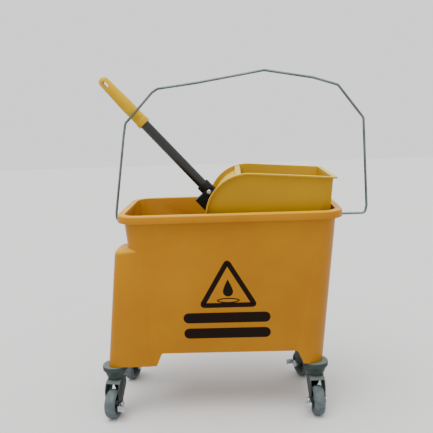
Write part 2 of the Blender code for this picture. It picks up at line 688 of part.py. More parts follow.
def fork_outline():
    """Side view of the fork: top plate, and legs that run back down to the axle."""
    reach, top = FORK_PLATE_RADIUS - GAP, FORK_TOP - FORK_BOSS
    eye = arc((-TRAIL, WHEEL_RADIUS), FORK_EYE, math.radians(160), math.radians(340), 7)
    return [(reach, FORK_TOP - FORK_WEB_DEPTH), (reach, top), (-reach, top),
            (-reach - FORK_PLATE, FORK_TOP - FORK_PLATE),
            (-reach - 2 * FORK_PLATE, FORK_TOP - 3 * FORK_PLATE), *eye]


def wheel_room():
    """Side view of the space between the fork's legs, under its plate and behind its front web."""
    plate, web_foot = FORK_TOP - FORK_PLATE, FORK_TOP - FORK_WEB_DEPTH - EDGE
    web_back = FORK_PLATE_RADIUS - GAP - FORK_SHEET
    ahead, behind = 2 * FORK_PLATE_RADIUS, -TRAIL - 2 * WHEEL_RADIUS
    return [(web_back, plate), (behind, plate), (behind, -WHEEL_RADIUS), (ahead, -WHEEL_RADIUS),
            (ahead, web_foot), (web_back, web_foot)]


def make_caster(side, end, swivel, parent):
    """One caster: fixed cap, swivelling fork with its axle and side brake, core and tyre."""
    label = caster_label(side, end)
    x = CASTER_LEFT_X if end < 0 else CASTER_RIGHT_X
    place = pivot(f"caster_{label}", (x, side * CASTER_Y, 0.0), parent)
    make_caster_cap(label, place)
    swivel_axis = pivot(f"swivel_{label}", (0.0, 0.0, 0.0), place, (0.0, 0.0, swivel))
    half = WHEEL_WIDTH / 2 + FORK_SIDE_ROOM
    fork = piece(f"caster_fork_{label}", prism(fork_outline(), -half - FORK_SHEET, half + FORK_SHEET),
                 GREY_PLASTIC, swivel_axis)
    cut(fork, prism(wheel_room(), -half, half))
    boss_foot = FORK_TOP - FORK_PLATE + FORK_BOSS
    added(fork, turned([(FORK_PLATE_RADIUS, boss_foot), (FORK_PLATE_RADIUS, FORK_TOP)], MEDIUM))
    cut(fork, drill(KING_PIN_RADIUS + GAP))
    cut(fork, moved(turned_to(drill(AXLE_RADIUS + GAP), "Y"), -TRAIL, 0.0, WHEEL_RADIUS))

    wheel_axis = pivot(f"wheel_axis_{label}", (-TRAIL, 0.0, WHEEL_RADIUS), swivel_axis)
    brake_side = 1 if side * end < 0 else -1
    outer = half + FORK_SHEET + GAP
    brake_room = BRAKE_SHEET + 2 * GAP
    plain_end = outer * -brake_side
    brake_end = (outer + brake_room) * brake_side
    low, high = min(plain_end, brake_end), max(plain_end, brake_end)
    head, soft = AXLE_HEAD_RADIUS, AXLE_HEAD_RADIUS - EDGE
    axle = turned([(soft, low - AXLE_HEAD), (head, low - AXLE_HEAD + EDGE), (head, low), (AXLE_RADIUS, low),
                   (AXLE_RADIUS, high), (head, high), (head, high + AXLE_HEAD - EDGE),
                   (soft, high + AXLE_HEAD)], FINE)
    piece(f"caster_axle_{label}", turned_to(axle, "Y"), BARE_STEEL, wheel_axis)
    make_brake(label, wheel_axis, brake_side, outer)
    make_wheel(label, wheel_axis)


def make_wheel(label, wheel_axis):
    """Moulded core with a recessed web on each side, and the rubber tyre round it."""
    half = WHEEL_WIDTH / 2
    core_radius = WHEEL_RADIUS - TREAD
    bore = AXLE_RADIUS + GAP
    hub = bore + HUB_WALL
    web = WEB_HALF
    rim, lip = core_radius - CORE_RIM, half - EDGE
    core = [(bore, -half), (hub, -half), (hub, -web), (rim - EDGE, -web), (rim, -lip), (core_radius, -lip),
            (core_radius, lip), (rim, lip), (rim - EDGE, web), (hub, web), (hub, half), (bore, half)]
    piece(f"caster_core_{label}", turned_to(turned(core, MEDIUM, hollow=True), "Y"), GREY_PLASTIC, wheel_axis)
    seat = core_radius + GAP
    side, shoulder = seat + CORE_RIM, WHEEL_RADIUS - TYRE_SHOULDER
    tyre = [(seat, -lip), (side, -half), (shoulder, -half + TYRE_SHOULDER),
            (WHEEL_RADIUS, -half + TYRE_CROWN), (WHEEL_RADIUS, half - TYRE_CROWN),
            (shoulder, half - TYRE_SHOULDER), (side, half), (seat, lip)]
    piece(f"caster_tyre_{label}", turned_to(turned(tyre, ROUND, hollow=True), "Y"), GREY_RUBBER, wheel_axis)


def make_brake(label, wheel_axis, brake_side, outer):
    """Stamped side brake: an arm that turns on the axle, with its end bent out as a foot tread."""
    near = outer + GAP
    span = sorted((brake_side * near, brake_side * (near + BRAKE_SHEET)))
    back = arc((0.0, 0.0), BRAKE_HALF, math.radians(-60), math.radians(60), 8)
    outline = [(-BRAKE_LENGTH, -BRAKE_TIP_HALF), *back, (-BRAKE_LENGTH, BRAKE_TIP_HALF)]
    arm = piece(f"caster_brake_{label}", prism(outline, *span), BARE_STEEL, wheel_axis)
    tread_span = sorted((brake_side * near, brake_side * (near + BRAKE_TREAD)))
    added(arm, block((-BRAKE_LENGTH - BRAKE_SHEET, -BRAKE_LENGTH + BRAKE_SHEET / 4), tread_span,
                     (-BRAKE_TIP_HALF, BRAKE_TIP_HALF)))
    cut(arm, turned_to(drill(AXLE_RADIUS + GAP), "Y"))


# ---------------------------------------------------------------- wringer

def panel_width(z):
    """Half the wringer's outer width at a height."""
    top = CURVE_CENTRE[1] + CURVE_RADIUS
    return WRINGER_HALF_WIDTH - (top - z) * WRINGER_SIDE_SLOPE


def top_line(x):
    """Height of the wringer's sloping top edge."""
    start = shoulder_end()
    return start[1] - (x - start[0]) * math.tan(TOP_SLOPE)


def shoulder_end():
    """Where the round shoulder runs into the sloping top edge."""
    turn = math.pi / 2 - TOP_SLOPE
    return (CURVE_CENTRE[0] + CURVE_RADIUS * math.cos(turn), CURVE_CENTRE[1] + CURVE_RADIUS * math.sin(turn))


def right_wall(z):
    """Outer face of the right wall at a height."""
    return WRINGER_RIGHT - (top_line(WRINGER_RIGHT) - z) * WRINGER_END_SLOPE


def panel_outline():
    """Side view of the wringer."""
    shoulder = arc(CURVE_CENTRE, CURVE_RADIUS, math.pi / 2 - TOP_SLOPE, math.pi, CURVE_STEPS)
    return [(WRINGER_RIGHT, top_line(WRINGER_RIGHT)), *shoulder, (WRINGER_LEFT, WRINGER_STEP_Z),
            (WRINGER_STEP_X, WRINGER_BOTTOM), (right_wall(WRINGER_BOTTOM), WRINGER_BOTTOM)]


def tapered(outline, inset):
    """Solid with an (x, z) outline whose faces follow the side panels' slope."""
    return loft([[(x, side * (panel_width(z) - inset), z) for x, z in outline] for side in (-1, 1)])


def make_wringer_shell(parent):
    """Open box with perforated floor and end wall, flanged top edge and side skids."""
    shell = piece("wringer_shell", tapered(panel_outline(), 0.0), LIGHT_PLASTIC, parent)
    outer = arc(CURVE_CENTRE, CURVE_RADIUS + GAP, math.pi / 2 - TOP_SLOPE, math.pi, CURVE_STEPS)
    inner = arc(CURVE_CENTRE, CURVE_RADIUS - FLANGE_THICKNESS, math.pi, math.pi / 2 - TOP_SLOPE, CURVE_STEPS)
    lip_right = WRINGER_RIGHT + WRINGER_FLANGE
    lip = [(lip_right, top_line(lip_right) + GAP), *outer, *inner,
           (lip_right, top_line(lip_right) - FLANGE_THICKNESS)]
    lip_width = WRINGER_HALF_WIDTH + WRINGER_FLANGE
    added(shell, prism(lip, -lip_width, lip_width))
    skid_left = WRINGER_LEFT + SKID_START
    skid_low = LEDGE_TOP + GAP
    reach = panel_width(skid_low) + SKID_REACH
    added(shell, block((skid_left, skid_left + SKID_LENGTH), (-reach, reach),
                       (skid_low, skid_low + SKID_THICKNESS)))

    wall = WRINGER_WALL
    left = WRINGER_LEFT + wall
    sky = RIM_TOP + CURVE_RADIUS * 2
    floor_right = right_wall(WRINGER_BOTTOM) - wall
    rise = (WRINGER_STEP_Z - WRINGER_BOTTOM) / (WRINGER_STEP_X - WRINGER_LEFT)
    chamber = [(right_wall(sky) - wall, sky), (left - 4 * wall, sky), (left - 4 * wall, CURVE_CENTRE[1]),
               (left, CURVE_CENTRE[1]), (left, WRINGER_STEP_Z + wall * (1 - rise)),
               (WRINGER_STEP_X + wall * rise / 2, WRINGER_BOTTOM + wall),
               (floor_right, WRINGER_BOTTOM + wall)]
    cut(shell, tapered(chamber, wall))
    slot_low, slot_high = lever_slot()
    cut(shell, block((WRINGER_LEFT - wall, left + wall), (slot_low, slot_high),
                     (LEVER_AXIS[1] - 2 * YOKE_HUB, CURVE_CENTRE[1] + wall)))
    add_screw_posts(shell)
    cut_drains(shell, floor_right)
    for axis, shaft in ((LEVER_AXIS, SHAFT_RADIUS), (PLATE_AXIS, PLATE_SHAFT_RADIUS)):
        radius = bush_radius(shaft) + GAP
        bore = turned_to(drill(radius, sides=MEDIUM), "Y")
        cut(shell, moved(bore, axis[0], 0.0, axis[1]))
    return shell


def lever_slot():
    """Span along Y that is kept open for the lever's yoke."""
    half = YOKE_THICKNESS / 2 + YOKE_CLEARANCE
    return LEVER_Y - half, LEVER_Y + half


def bar_underside():
    """Height of the underside of the hood's front bar."""
    return top_line(shoulder_end()[0]) - HOOD_BAR_DEPTH - FLANGE_THICKNESS


def screw_x():
    """Place of the hood's screws along X."""
    return (HOOD_BAR_LOW + HOOD_BAR_HIGH) / 2 + HOOD_THICKNESS / 2


def screw_y():
    """Distance of the hood's screws from the middle."""
    return panel_width(bar_underside()) - WRINGER_WALL - POST_LENGTH / 2


def add_screw_posts(shell):
    """Ledges inside the side panels that the hood's front bar is screwed to."""
    top = bar_underside() - GAP
    for side in (-1, 1):
        inner = side * (panel_width(top) - WRINGER_WALL - POST_LENGTH)
        outer = side * (panel_width(top) - WRINGER_WALL / 2)
        back = HOOD_BAR_LOW + HOOD_THICKNESS + WRINGER_WALL / 2
        added(shell, block((back, HOOD_BAR_HIGH), sorted((inner, outer)), (top - POST_DEPTH, top)))
        pilot = SCREW_RADIUS + GAP
        hole = turned([(pilot, top - SCREW_LENGTH), (pilot, top + POST_DEPTH)], FINE)
        cut(shell, moved(hole, screw_x(), side * screw_y()))


def cut_drains(shell, floor_right):
    """Rows of drain slots in the level floor and in the end wall."""
    length, width = DRAIN_SLOT
    step_x, step_y = DRAIN_PITCH
    columns = int((floor_right - WRINGER_STEP_X - length) / step_x)
    floor_slots = []
    half_rows = int((panel_width(WRINGER_BOTTOM) - WRINGER_WALL - width) / step_y)
    for column in range(columns):
        x = WRINGER_STEP_X + length + column * step_x
        for row in range(-half_rows, half_rows + 1):
            floor_slots.append(block((x - length / 2, x + length / 2),
                                     (row * step_y - width / 2, row * step_y + width / 2),
                                     (WRINGER_BOTTOM - WRINGER_WALL, WRINGER_BOTTOM + 2 * WRINGER_WALL)))
    for row in range(-half_rows, half_rows + 1):
        for level in range(DRAIN_LEVELS):
            z = WRINGER_BOTTOM + (1 + level) * step_x
            floor_slots.append(block((right_wall(z) - 3 * WRINGER_WALL, right_wall(z) + 3 * WRINGER_WALL),
                                     (row * step_y - width / 2, row * step_y + width / 2),
                                     (z - length / 2, z + length / 2)))
    cut(shell, merged(floor_slots))


def make_hood(parent):
    """Curved cover over the gears, slotted for the lever, with a raised front bar."""
    outer_radius = CURVE_RADIUS - HOOD_DROP
    inner_radius = outer_radius - HOOD_THICKNESS
    end_turn = math.acos((HOOD_BAR_LOW + HOOD_THICKNESS - CURVE_CENTRE[0]) / inner_radius)
    outer = arc(CURVE_CENTRE, outer_radius, end_turn, math.pi, CURVE_STEPS)
    inner = arc(CURVE_CENTRE, inner_radius, math.pi, end_turn, CURVE_STEPS)
    foot_left = WRINGER_LEFT + WRINGER_WALL + GAP
    foot = [(foot_left, CURVE_CENTRE[1]), (foot_left, CURVE_CENTRE[1] - HOOD_THICKNESS),
            (CURVE_CENTRE[0] - inner_radius, CURVE_CENTRE[1] - HOOD_THICKNESS)]
    hood = piece("wringer_hood", tapered([*outer, *foot, *inner], WRINGER_WALL + GAP), LIGHT_PLASTIC, parent)
    bar_top = bar_underside() + HOOD_BAR_DEPTH
    added(hood, tapered([(HOOD_BAR_LOW, bar_underside()), (HOOD_BAR_HIGH, bar_underside()),
                         (HOOD_BAR_HIGH, bar_top - HOOD_BAR_EDGE), (HOOD_BAR_HIGH - HOOD_BAR_EDGE, bar_top),
                         (HOOD_BAR_LOW + HOOD_BAR_EDGE, bar_top), (HOOD_BAR_LOW, bar_top - HOOD_BAR_EDGE)],
                        WRINGER_WALL + GAP))
    slot_low, slot_high = lever_slot()
    beyond = CURVE_CENTRE[0] - CURVE_RADIUS
    below = CURVE_CENTRE[1] - 2 * HOOD_DROP
    opening = [CURVE_CENTRE, *arc(CURVE_CENTRE, CURVE_RADIUS, HOOD_SLOT_HIGH, math.pi, 4), (beyond, below),
               (CURVE_CENTRE[0], below)]
    cut(hood, prism(opening, slot_low, slot_high))
    middle = screw_x()
    for label, side in (("near", -1), ("far", 1)):
        cut(hood, moved(drill(SCREW_RADIUS + GAP), middle, side * screw_y(), bar_top))
        tip = bar_underside() - SCREW_LENGTH + 2 * GAP
        profile = [(SCREW_RADIUS / 2, tip), (SCREW_RADIUS, tip + SCREW_RADIUS), (SCREW_RADIUS, bar_top + GAP),
                   *dome(SCREW_HEAD_RADIUS, bar_top + GAP, SCREW_HEAD)]
        place = (middle, side * screw_y(), 0.0)
        piece(f"hood_screw_{label}", turned(profile, FINE), BARE_STEEL, parent, place)


def bush_radius(shaft):
    """Outer radius of the bush round a shaft."""
    return shaft + GAP + BUSH_WALL


def make_shaft_fittings(name, axis, shaft, shell_parent, turning_parent):
    """Flanged bushes in the side panels, the shaft through them and a clip on each end."""
    outer = bush_radius(shaft)
    bore = shaft + GAP
    width = panel_width(axis[1])
    slope_room = WRINGER_SIDE_SLOPE * (outer + BUSH_FLANGE)
    inside = width - WRINGER_WALL - GAP - slope_room
    outside = width + slope_room + GAP
    for label, side in (("near", -1), ("far", 1)):
        flange, flange_foot = outer + BUSH_FLANGE, inside - BUSH_FLANGE_THICKNESS
        profile = [(bore, flange_foot), (flange, flange_foot), (flange, inside), (outer, inside),
                   (outer, outside), (bore, outside)]
        bush = turned_to(turned(profile, FINE, hollow=True), "Y")
        if side < 0:
            bmesh.ops.rotate(bush, verts=bush.verts, cent=(0, 0, 0), matrix=Matrix.Rotation(math.pi, 3, "Z"))
        piece(f"{name}_bush_{label}", bush, BLACK_PLASTIC, shell_parent, (axis[0], 0.0, axis[1]))
    clip_inner = outside + GAP
    shaft_end = clip_inner + CLIP_THICKNESS + GAP + SHAFT_END
    groove = shaft - GROOVE_DEPTH
    edges = [(shaft - CHAMFER, -shaft_end), (shaft, -shaft_end + CHAMFER)]
    for sign in (-1, 1):
        near, far = sorted((sign * clip_inner, sign * (clip_inner + CLIP_THICKNESS)))
        edges += [(shaft, near - GAP), (groove, near - GAP), (groove, far + GAP), (shaft, far + GAP)]
    edges += [(shaft, shaft_end - CHAMFER), (shaft - CHAMFER, shaft_end)]
    piece(f"{name}_shaft", turned_to(turned(edges, FINE), "Y"), BARE_STEEL, turning_parent)
    for label, side in (("near", -1), ("far", 1)):
        near, far = sorted((side * clip_inner, side * (clip_inner + CLIP_THICKNESS)))
        rim = shaft + CLIP_HEIGHT
        clip = turned([(groove + GAP, near), (rim, near), (rim, far), (groove + GAP, far)], FINE, hollow=True)
        piece(f"{name}_clip_{label}", turned_to(clip, "Y"), BARE_STEEL, turning_parent)


# ---------------------------------------------------------------- gears

def involute(angle):
    """Involute function."""
    return math.tan(angle) - angle


def gear_sector(teeth, first, last, phase, bore):
    """Toothed sector on a round hub, in the XZ plane; first and last limit the toothed arc."""
    pitch_radius = GEAR_MODULE * teeth / 2
    base = pitch_radius * math.cos(PRESSURE_ANGLE)
    root = pitch_radius - GEAR_DEDENDUM * GEAR_MODULE
    tip = pitch_radius + GEAR_MODULE
    pitch_half = math.pi / (2 * teeth) - BACKLASH / (2 * pitch_radius)
    step = 2 * math.pi / teeth
    hub = bore + GEAR_HUB

    def half_angle(radius):
        lean = math.acos(min(1.0, base / radius))
        return pitch_half + involute(PRESSURE_ANGLE) - involute(lean)

    levels = [max(root, base) + (tip - max(root, base)) * share for share in TOOTH_LEVELS]
    outline = []
    count_low = math.ceil((first - phase) / step)
    count_high = math.floor((last - phase) / step)
    for count in range(count_low, count_high + 1):
        middle = phase + count * step
        foot = half_angle(levels[0])
        flank = [(root, middle - foot)] + [(radius, middle - half_angle(radius)) for radius in levels]
        flank += [(radius, middle + half_angle(radius)) for radius in reversed(levels)]
        flank.append((root, middle + foot))
        outline += flank
    start = phase + count_low * step - half_angle(levels[0]) - step / 4
    end = phase + count_high * step + half_angle(levels[0]) + step / 4
    outline = [(root, start), *outline, (root, end)]
    points = [(radius * math.cos(turn), radius * math.sin(turn)) for radius, turn in outline]
    sweep = 2 * math.pi - (end - start)
    for number in range(1, GEAR_HUB_STEPS):
        turn = end + sweep * number / GEAR_HUB_STEPS
        points.append((hub * math.cos(turn), hub * math.sin(turn)))
    return points


def make_gear(name, teeth, arc_limits, phase, shaft, side, parent):
    """Gear sector on its shaft, beside one side panel."""
    outline = gear_sector(teeth, *arc_limits, phase, shaft + GAP)
    low = side * GEAR_Y - GEAR_WIDTH / 2
    gear = piece(name, prism(outline, low, low + GEAR_WIDTH), BLACK_PLASTIC, parent)
    cut(gear, turned_to(drill(shaft + GAP, sides=MEDIUM), "Y"))


# ---------------------------------------------------------------- lever

def make_lever(parent, shell_parent):
    """Lever body: shaft, drive gears, yoke with socket, tube, bolt and grip."""
    axis = pivot("lever_axis", (LEVER_AXIS[0], 0.0, LEVER_AXIS[1]), parent)
    arm = pivot("lever_arm", (0.0, LEVER_Y, 0.0), axis, (0.0, -LEVER_ANGLE, 0.0))
    make_shaft_fittings("lever", LEVER_AXIS, SHAFT_RADIUS, shell_parent, axis)
    for label, side in (("near", -1), ("far", 1)):
        limits = (GEAR_LINE - LEVER_PULL - MESH_MARGIN, GEAR_LINE + LEVER_RELEASE + MESH_MARGIN)
        make_gear(f"drive_gear_{label}", DRIVE_TEETH, limits, GEAR_LINE, SHAFT_RADIUS, side, axis)

    front, back = YOKE_FRONT, -TUBE_OFFSET - TUBE_RADIUS - YOKE_BACK
    half = YOKE_THICKNESS / 2
    hub = arc((0.0, 0.0), YOKE_HUB, math.radians(105), math.radians(255), 8)
    outline = [(YOKE_BLOCK_TOP, back), (YOKE_BLOCK_TOP, front), (0.0, front), *hub[1:], (YOKE_HEEL, back)]
    yoke = piece("lever_yoke", prism(outline, -half, half), BLACK_PLASTIC, arm)
    socket = turned([(half, YOKE_HEEL), (half, SOCKET_TOP - 2 * EDGE), (half - EDGE, SOCKET_TOP)])
    added(yoke, moved(turned_to(socket, "X"), 0.0, 0.0, -TUBE_OFFSET))
    bore = turned([(TUBE_RADIUS + GAP, TUBE_START - GAP), (TUBE_RADIUS + GAP, SOCKET_TOP + TUBE_RADIUS)])
    cut(yoke, moved(turned_to(bore, "X"), 0.0, 0.0, -TUBE_OFFSET))
    cut(yoke, turned_to(drill(SHAFT_RADIUS + GAP, sides=MEDIUM), "Y"))
    bolt_radius = BOLT_RADIUS + GAP
    cut(yoke, moved(turned_to(drill(bolt_radius), "Y"), BOLT_AT, 0.0, -TUBE_OFFSET))

    tube_end = GRIP_START + GRIP_OVERLAP
    inner = TUBE_RADIUS - TUBE_WALL
    tube = turned([(inner, TUBE_START), (TUBE_RADIUS, TUBE_START), (TUBE_RADIUS, tube_end),
                   (inner, tube_end)], ROUND, hollow=True)
    tube = piece("lever_tube", moved(turned_to(tube, "X"), 0.0, 0.0, -TUBE_OFFSET), BLACK_STEEL, arm)
    cut(tube, moved(turned_to(drill(bolt_radius), "Y"), BOLT_AT, 0.0, -TUBE_OFFSET))
    make_grip(arm)

    head = half + GAP
    rim, tip = NUT_RADIUS - CHAMFER, head + NUT_HEIGHT + BOLT_RADIUS / 2
    bolt = [(rim - 2 * CHAMFER, -head - BOLT_HEAD), (rim, -head - BOLT_HEAD + 2 * CHAMFER), (rim, -head),
            (BOLT_RADIUS, -head), (BOLT_RADIUS, tip - CHAMFER), (BOLT_RADIUS - CHAMFER, tip)]
    piece("yoke_bolt", turned_to(turned(bolt, FINE), "Y"), BARE_STEEL, arm, (BOLT_AT, 0.0, -TUBE_OFFSET))
    nut = piece("yoke_nut", turned_to(turned([(NUT_RADIUS, head), (NUT_RADIUS, head + NUT_HEIGHT)], 6), "Y"),
                BARE_STEEL, arm, (BOLT_AT, 0.0, -TUBE_OFFSET))
    cut(nut, turned_to(drill(bolt_radius), "Y"))
    return axis


def make_grip(arm):
    """Moulded grip pushed over the tube, tapering to a rounded tip with a hanging slot."""
    tip = GRIP_START + GRIP_LENGTH
    round_off = GRIP_TIP_RADIUS
    bore = TUBE_RADIUS + GAP
    bottom = GRIP_START + GRIP_OVERLAP + GAP
    neck = GRIP_RADIUS - EDGE
    profile = [(bore, bottom), (bore, GRIP_START), (neck, GRIP_START), (GRIP_RADIUS, GRIP_START + EDGE),
               (GRIP_RADIUS, GRIP_START + GRIP_COLLAR), (neck, GRIP_START + GRIP_COLLAR + 3 * EDGE),
               (neck, GRIP_START + GRIP_WAIST),
               (GRIP_TIP_RADIUS, tip - round_off)]
    for step in (1, 2, 3, 4):
        turn = math.radians(20 * step)
        profile.append((GRIP_TIP_RADIUS * math.cos(turn), tip - round_off + round_off * math.sin(turn)))
    grip = piece("grip", moved(turned_to(turned(profile), "X"), 0.0, 0.0, -TUBE_OFFSET), YELLOW_PLASTIC, arm)
    half_slot = SLOT_LENGTH / 2 - SLOT_RADIUS
    slot_centre = tip - SLOT_FROM_TIP
    slot = [(slot_centre + x, -TUBE_OFFSET + z) for x, z in
            arc((half_slot, 0.0), SLOT_RADIUS, -math.pi / 2, math.pi / 2, 6)
            + arc((-half_slot, 0.0), SLOT_RADIUS, math.pi / 2, 3 * math.pi / 2, 6)]
    cut(grip, prism(slot, -REACH, REACH))


# ---------------------------------------------------------------- press plate

def make_press_plate(parent, shell_parent):
    """Press plate body: perforated plate with ribs and two arms, its shaft, clips and gears."""
    axis = pivot("plate_axis", (PLATE_AXIS[0], 0.0, PLATE_AXIS[1]), parent)
    leaf = pivot("plate_leaf", (0.0, 0.0, 0.0), axis, (0.0, PLATE_LEAN, 0.0))
    make_shaft_fittings("plate", PLATE_AXIS, PLATE_SHAFT_RADIUS, shell_parent, axis)
    contact = GEAR_LINE + math.pi
    swing_back = LEVER_RELEASE * GEAR_RATIO
    swing_press = LEVER_PULL * GEAR_RATIO
    phase = contact + math.pi / PLATE_TEETH
    for label, side in (("near", -1), ("far", 1)):
        limits = (contact - swing_back - MESH_MARGIN, contact + swing_press + MESH_MARGIN)
        make_gear(f"plate_gear_{label}", PLATE_TEETH, limits, phase, PLATE_SHAFT_RADIUS, side, axis)

    face = PLATE_OFFSET
    edge = PLATE_HALF_WIDTH
    sheet = block((face, face + PLATE_THICKNESS), (-edge, edge), (-PLATE_BELOW, PLATE_ABOVE))
    plate = piece("press_plate", sheet, LIGHT_PLASTIC, leaf)
    embed = PLATE_THICKNESS / 2
    for share in PLATE_RIBS:
        y = share * PLATE_HALF_WIDTH
        rib = [(face + embed, 0.0), (face - PLATE_RIB_DEPTH, PLATE_RIB_LOW),
               (face - PLATE_RIB_DEPTH, PLATE_RIB_HIGH), (face + embed, PLATE_ABOVE - PLATE_EDGE)]
        added(plate, prism(rib, y - PLATE_RIB_THICKNESS / 2, y + PLATE_RIB_THICKNESS / 2))
    boss = PLATE_SHAFT_RADIUS + PLATE_BOSS
    for side in (-1, 1):
        middle = side * PLATE_ARM_Y
        outline = [(face + embed, -PLATE_BELOW + PLATE_EDGE), (face + embed, PLATE_ARM_TOP)]
        outline += arc((0.0, 0.0), boss, math.radians(75), math.radians(265), 9)
        added(plate, prism(outline, middle - PLATE_ARM_WIDTH / 2, middle + PLATE_ARM_WIDTH / 2))
    slots = []
    for row in range(PLATE_SLOT_ROWS):
        z = PLATE_SLOT_LOW + row * DRAIN_PITCH[0]
        for share in PLATE_DRAINS:
            y = share * PLATE_HALF_WIDTH
            slots.append(block((face - PLATE_THICKNESS, face + 3 * PLATE_THICKNESS),
                               (y - DRAIN_SLOT[1] / 2, y + DRAIN_SLOT[1] / 2),
                               (z - DRAIN_SLOT[0] / 2, z + DRAIN_SLOT[0] / 2)))
    cut(plate, merged(slots))
    cut(plate, turned_to(drill(PLATE_SHAFT_RADIUS + GAP, sides=MEDIUM), "Y"))


# ---------------------------------------------------------------- assembly

def build():
    """Model the whole bucket."""
    for leftover in list(bpy.data.objects):
        bpy.data.objects.remove(leftover)
    assembly = pivot("assembly", ((LEFT_REACH - RIGHT_REACH) / 2, 0.0, 0.0))
    make_tub(assembly)
    for name, end in (("bail_bracket_left", -1), ("bail_bracket_right", 1)):
        make_bracket(name, end, assembly)
    make_bail(assembly)
    for (side, end), swivel in SWIVELS.items():
        make_caster(side, end, math.radians(swivel), assembly)
    make_wringer_shell(assembly)
    make_hood(assembly)
    make_lever(assembly, assembly)
    make_press_plate(assembly, assembly)


build()
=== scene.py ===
"""Looks of a wheeled mop bucket with a lever-operated side-press wringer.

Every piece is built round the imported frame, in metres, +Z up, and rides on one of its bodies.
Small fittings are rounded copies of their frame nodes; round and bent pieces are modelled anew.
"""

from __future__ import annotations

import json
import logging
import math
from dataclasses import dataclass
from enum import Enum
from typing import Any, Sequence

import bpy
from mathutils import Matrix, Quaternion, Vector

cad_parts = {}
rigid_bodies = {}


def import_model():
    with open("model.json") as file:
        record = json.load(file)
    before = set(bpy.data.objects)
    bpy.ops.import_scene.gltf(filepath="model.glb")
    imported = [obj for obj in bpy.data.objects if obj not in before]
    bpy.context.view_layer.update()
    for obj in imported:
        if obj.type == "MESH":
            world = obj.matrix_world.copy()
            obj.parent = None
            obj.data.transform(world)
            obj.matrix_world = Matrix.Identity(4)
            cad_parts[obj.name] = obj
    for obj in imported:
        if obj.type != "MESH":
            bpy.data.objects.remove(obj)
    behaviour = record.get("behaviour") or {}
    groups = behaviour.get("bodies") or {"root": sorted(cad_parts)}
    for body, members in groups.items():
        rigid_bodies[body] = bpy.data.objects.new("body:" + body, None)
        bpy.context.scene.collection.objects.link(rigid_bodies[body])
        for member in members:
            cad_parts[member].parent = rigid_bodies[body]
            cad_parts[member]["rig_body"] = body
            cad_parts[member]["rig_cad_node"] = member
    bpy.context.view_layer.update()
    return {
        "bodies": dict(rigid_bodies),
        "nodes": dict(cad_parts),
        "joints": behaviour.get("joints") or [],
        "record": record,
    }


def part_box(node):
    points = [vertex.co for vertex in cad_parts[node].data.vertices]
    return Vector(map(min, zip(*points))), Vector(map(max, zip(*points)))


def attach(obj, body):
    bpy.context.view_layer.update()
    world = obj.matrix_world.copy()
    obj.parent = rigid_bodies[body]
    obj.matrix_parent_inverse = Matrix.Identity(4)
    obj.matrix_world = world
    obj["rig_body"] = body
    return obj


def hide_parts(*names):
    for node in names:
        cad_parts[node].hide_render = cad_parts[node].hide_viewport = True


LOG = logging.getLogger("mop_bucket")
PICTURE_WIDTH = 433.0           # the camera's focal length is given in this unit
SENSOR = 36.0                   # mm, the camera's default sensor width
PLASTIC_IOR = 1.49              # polyethylene, polypropylene and nylon all lie close to it
MIX_A, MIX_B, MIX_COLOUR = 6, 7, 2      # a colour Mix node's two inputs and its output
MERGE_NEW = 1e-6                # points this close are one, on a new mesh
MERGE_NODE = 2e-6               # and on a copy of a frame node
FLAT = math.radians(0.5)        # neighbouring faces within this angle are one face
LARGEST_SHARE = 0.45            # of a stretch of a line that one rounded corner may take up

Profile = Sequence[tuple[float, float]]


class Slot(Enum):
    """Material slots of the record."""

    TUB = "tub_plastic"
    WRINGER = "wringer_plastic"
    GRIP = "grip_plastic"
    BLACK = "black_plastic"
    TUBE = "black_tube"
    ZINC = "zinc_steel"
    WIRE = "bail_wire"
    CASTER = "caster_plastic"
    TREAD = "caster_tread"


class Edge(Enum):
    """Width of the edge rounding of each kind of piece, in metres."""

    YOKE = 0.0012
    FORK = 0.0009
    TUB = 0.0006
    MOULDING = 0.0005
    STRIP = 0.0004
    BUSH = 0.0003
    FINE = 0.0002


# ---------------------------------------------------------------- colour and nodes

def linear(code: str) -> tuple[float, float, float, float]:
    """Turn an sRGB hex colour into linear light.

    Args:
        code: Six hex digits, with or without a leading #.

    Returns:
        Linear red, green and blue, and an alpha of 1.
    """
    code = code.lstrip("#")
    channels = [int(code[start:start + 2], 16) / 255 for start in (0, 2, 4)]
    lit = [c / 12.92 if c <= 0.04045 else ((c + 0.055) / 1.055) ** 2.4 for c in channels]
    return (lit[0], lit[1], lit[2], 1.0)


def per_mm(size: float) -> float:
    """Texture scale that repeats about once in a size given in millimetres."""
    return 1000.0 / size


def feed(tree: bpy.types.NodeTree, node: bpy.types.Node, inputs: dict[Any, Any]) -> None:
    """Set a node's inputs.

    Args:
        tree: Node tree of the material.
        node: Node to feed.
        inputs: Socket name or number to a value, or to the output socket that feeds it.
    """
    for key, value in inputs.items():
        if isinstance(value, bpy.types.NodeSocket):
            tree.links.new(value, node.inputs[key])
        else:
            node.inputs[key].default_value = value


def add_node(tree: bpy.types.NodeTree, kind: str, inputs: dict[Any, Any] | None = None,
             **settings: Any) -> bpy.types.Node:
    """Add a shader node with its settings, values and links.

    Args:
        tree: Node tree of the material.
        kind: Blender's type name of the node.
        inputs: Socket name or number to a value, or to the output socket that feeds it.
        **settings: Properties set on the node.

    Returns:
        The new node.
    """
    made = tree.nodes.new(kind)
    for name, value in settings.items():
        setattr(made, name, value)
    feed(tree, made, inputs or {})
    return made


def new_material(name: str) -> tuple[bpy.types.Material, bpy.types.NodeTree, bpy.types.Node]:
    """Make a material that holds one Principled shader.

    Args:
        name: Name of the material.

    Returns:
        The material, its node tree and its shader.
    """
    made = bpy.data.materials.new(name)
    made.use_nodes = True
    tree = made.node_tree
    return made, tree, tree.nodes["Principled BSDF"]


# ---------------------------------------------------------------- finishes

